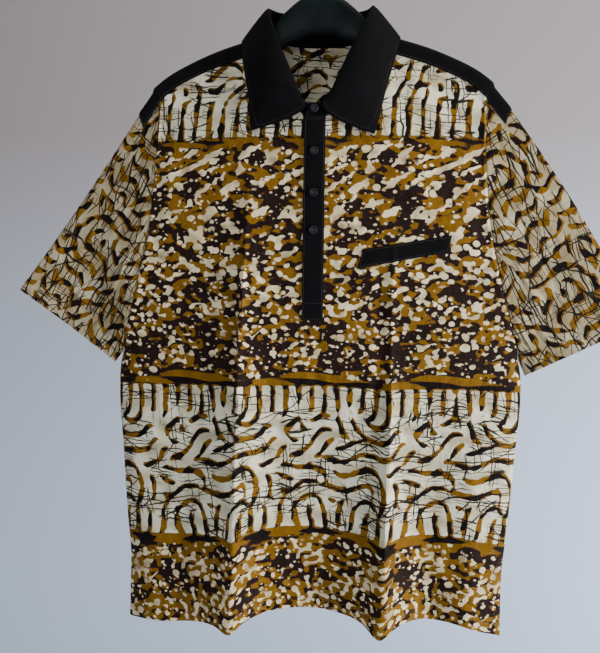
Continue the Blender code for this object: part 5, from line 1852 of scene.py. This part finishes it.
def add_light(name, place, target, size, power, colour):
    """A soft rectangular lamp at a place, turned to a target."""
    light = bpy.data.lights.new(name, "AREA")
    light.shape = "RECTANGLE"
    light.size, light.size_y = size
    light.energy = power
    light.color = colour
    item = bpy.data.objects.new(name, light)
    item.location = place
    item.rotation_euler = (Vector(target) - Vector(place)).to_track_quat("-Z", "Y").to_euler()
    bpy.context.scene.collection.objects.link(item)


def build_stage(sizes, colours):
    """Backdrop, lights and the camera that stands as the photo's did."""
    backdrop(colours)
    for name, place, target, size, power, colour in LAMPS:
        add_light(name, place, target, size, power * sizes.light, colour)
    world = bpy.data.worlds.new("studio")
    bpy.context.scene.world = world
    world.use_nodes = True
    sky = world.node_tree.nodes["Background"]
    sky.inputs["Color"].default_value = SKY_COLOUR
    sky.inputs["Strength"].default_value = SKY_STRENGTH
    camera = bpy.data.cameras.new("camera")
    camera.lens = CAMERA_LENS
    item = bpy.data.objects.new("camera", camera)
    right, up, forward = Vector(CAMERA_RIGHT), Vector(CAMERA_UP), Vector(CAMERA_FORWARD)
    turn = Matrix((right, up, -forward)).transposed()
    item.matrix_world = Matrix.Translation(CAMERA_PLACE) @ turn.to_4x4()
    bpy.context.scene.collection.objects.link(item)
    bpy.context.scene.camera = item


class ShirtSizes(bpy.types.PropertyGroup):
    """Sizes that a user would change"""

    back_shift: bpy.props.FloatProperty(
        name="Back print shift",
        description="How far the back's print is moved across",
        default=0.06,
        unit="LENGTH",
    )
    stitch_pitch: bpy.props.FloatProperty(
        name="Stitch pitch",
        description="Distance from stitch to stitch",
        default=0.0027,
        unit="LENGTH",
    )
    light: bpy.props.FloatProperty(
        name="Light",
        description="Strength of all the lamps",
        default=1.0,
        subtype="FACTOR",
    )


def colour_property(label, told, value):
    """A colour that a user would change, with its default."""
    return bpy.props.FloatVectorProperty(
        name=label,
        description=told,
        default=value,
        size=4,
        subtype="COLOR",
    )


class ShirtColours(bpy.types.PropertyGroup):
    """Colours that a user would change"""

    ground: colour_property("Ground", "Undyed ground of the print", (0.92, 0.87, 0.64, 1))
    ochre: colour_property("Ochre", "Lighter ink of the print", (0.235, 0.108, 0.004, 1))
    ink: colour_property("Ink", "Darker ink of the print", (0.0042, 0.0020, 0.0019, 1))
    wine: colour_property("Wine", "Where the darker ink is thin", (0.028, 0.010, 0.006, 1))
    black: colour_property("Black", "Collar and bands", (0.0028, 0.0022, 0.003, 1))
    button: colour_property("Button", "Resin of the buttons", (0.007, 0.006, 0.008, 1))
    hanger: colour_property("Hanger", "Moulded plastic", (0.003, 0.006, 0.0065, 1))
    thread: colour_property("Band thread", "Stitches on the bands", (0.006, 0.005, 0.006, 1))
    seam_thread: colour_property("Seam thread", "Stitches on the print", (0.10, 0.06, 0.03, 1))
    button_thread: colour_property("Button thread", "Threads through the buttons", (0.03, 0.026, 0.03, 1))
    # Painted light on the backdrop: brighter and bluer near the floor, darker higher up
    backdrop_low: colour_property("Backdrop low", "Paper near the floor", (0.65, 0.79, 1.0, 1))
    backdrop_high: colour_property("Backdrop high", "Paper higher up", (0.37, 0.325, 0.315, 1))


def own_properties(group):
    """Names of the properties that a group adds to Blender's own."""
    return [name for name in group.bl_rna.properties.keys() if name not in ("rna_type", "name")]


def run_part(build, context):
    """Builds one group of pieces from the scene's sizes and colours."""
    scene = context.scene
    chosen = scene.shirt_colours
    colours = {name: tuple(getattr(chosen, name)) for name in own_properties(chosen)}
    build(scene.shirt_sizes, colours)
    return {"FINISHED"}


class SHIRT_OT_panels(bpy.types.Operator):
    """Builds the printed front and back"""

    bl_idname = "shirt.panels"
    bl_label = "Front and back"

    def execute(self, context):
        return run_part(build_panels, context)


class SHIRT_OT_sleeves(bpy.types.Operator):
    """Builds both printed sleeves"""

    bl_idname = "shirt.sleeves"
    bl_label = "Sleeves"

    def execute(self, context):
        return run_part(build_sleeves, context)


class SHIRT_OT_strips(bpy.types.Operator):
    """Builds the black bands over the shoulder seams"""

    bl_idname = "shirt.strips"
    bl_label = "Shoulder strips"

    def execute(self, context):
        return run_part(build_strips, context)


class SHIRT_OT_bands(bpy.types.Operator):
    """Builds the placket and the pocket welt"""

    bl_idname = "shirt.bands"
    bl_label = "Placket and welt"

    def execute(self, context):
        return run_part(build_bands, context)


class SHIRT_OT_collar(bpy.types.Operator):
    """Builds the collar's stand and leaf"""

    bl_idname = "shirt.collar"
    bl_label = "Collar"

    def execute(self, context):
        return run_part(build_collar, context)


class SHIRT_OT_buttons(bpy.types.Operator):
    """Builds the four buttons and their thread"""

    bl_idname = "shirt.buttons"
    bl_label = "Buttons"

    def execute(self, context):
        return run_part(build_buttons, context)


class SHIRT_OT_stitches(bpy.types.Operator):
    """Builds the stitching of the hems and vents"""

    bl_idname = "shirt.stitches"
    bl_label = "Hem stitches"

    def execute(self, context):
        return run_part(build_stitches, context)


class SHIRT_OT_hanger(bpy.types.Operator):
    """Builds the moulded hanger with its hook"""

    bl_idname = "shirt.hanger"
    bl_label = "Hanger"

    def execute(self, context):
        return run_part(build_hanger, context)


class SHIRT_OT_stage(bpy.types.Operator):
    """Builds the backdrop, the lamps and the camera"""

    bl_idname = "shirt.stage"
    bl_label = "Studio"

    def execute(self, context):
        return run_part(build_stage, context)


OPERATORS = (
    SHIRT_OT_panels,
    SHIRT_OT_sleeves,
    SHIRT_OT_strips,
    SHIRT_OT_bands,
    SHIRT_OT_collar,
    SHIRT_OT_buttons,
    SHIRT_OT_stitches,
    SHIRT_OT_hanger,
    SHIRT_OT_stage,
)


class SHIRT_PT_sidebar(bpy.types.Panel):
    """Sizes, colours and buttons for each piece"""

    bl_label = "Shirt"
    bl_idname = "SHIRT_PT_sidebar"
    bl_space_type = "VIEW_3D"
    bl_region_type = "UI"
    bl_category = "Shirt"

    def draw(self, context):
        for group in (context.scene.shirt_sizes, context.scene.shirt_colours):
            for name in own_properties(group):
                self.layout.prop(group, name)
        for operator in OPERATORS:
            self.layout.operator(operator.bl_idname)


CLASSES = (ShirtSizes, ShirtColours, *OPERATORS, SHIRT_PT_sidebar)


def register():
    """Adds the classes and the scene's sizes and colours to Blender."""
    for item in CLASSES:
        bpy.utils.register_class(item)
    bpy.types.Scene.shirt_sizes = bpy.props.PointerProperty(type=ShirtSizes)
    bpy.types.Scene.shirt_colours = bpy.props.PointerProperty(type=ShirtColours)


def unregister():
    """Takes them away again."""
    del bpy.types.Scene.shirt_colours
    del bpy.types.Scene.shirt_sizes
    for item in reversed(CLASSES):
        bpy.utils.unregister_class(item)


def main():
    """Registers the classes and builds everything."""
    register()
    bpy.ops.shirt.panels()
    bpy.ops.shirt.sleeves()
    bpy.ops.shirt.strips()
    bpy.ops.shirt.bands()
    bpy.ops.shirt.collar()
    bpy.ops.shirt.buttons()
    bpy.ops.shirt.stitches()
    bpy.ops.shirt.hanger()
    bpy.ops.shirt.stage()


if __name__ == "__main__":
    main()
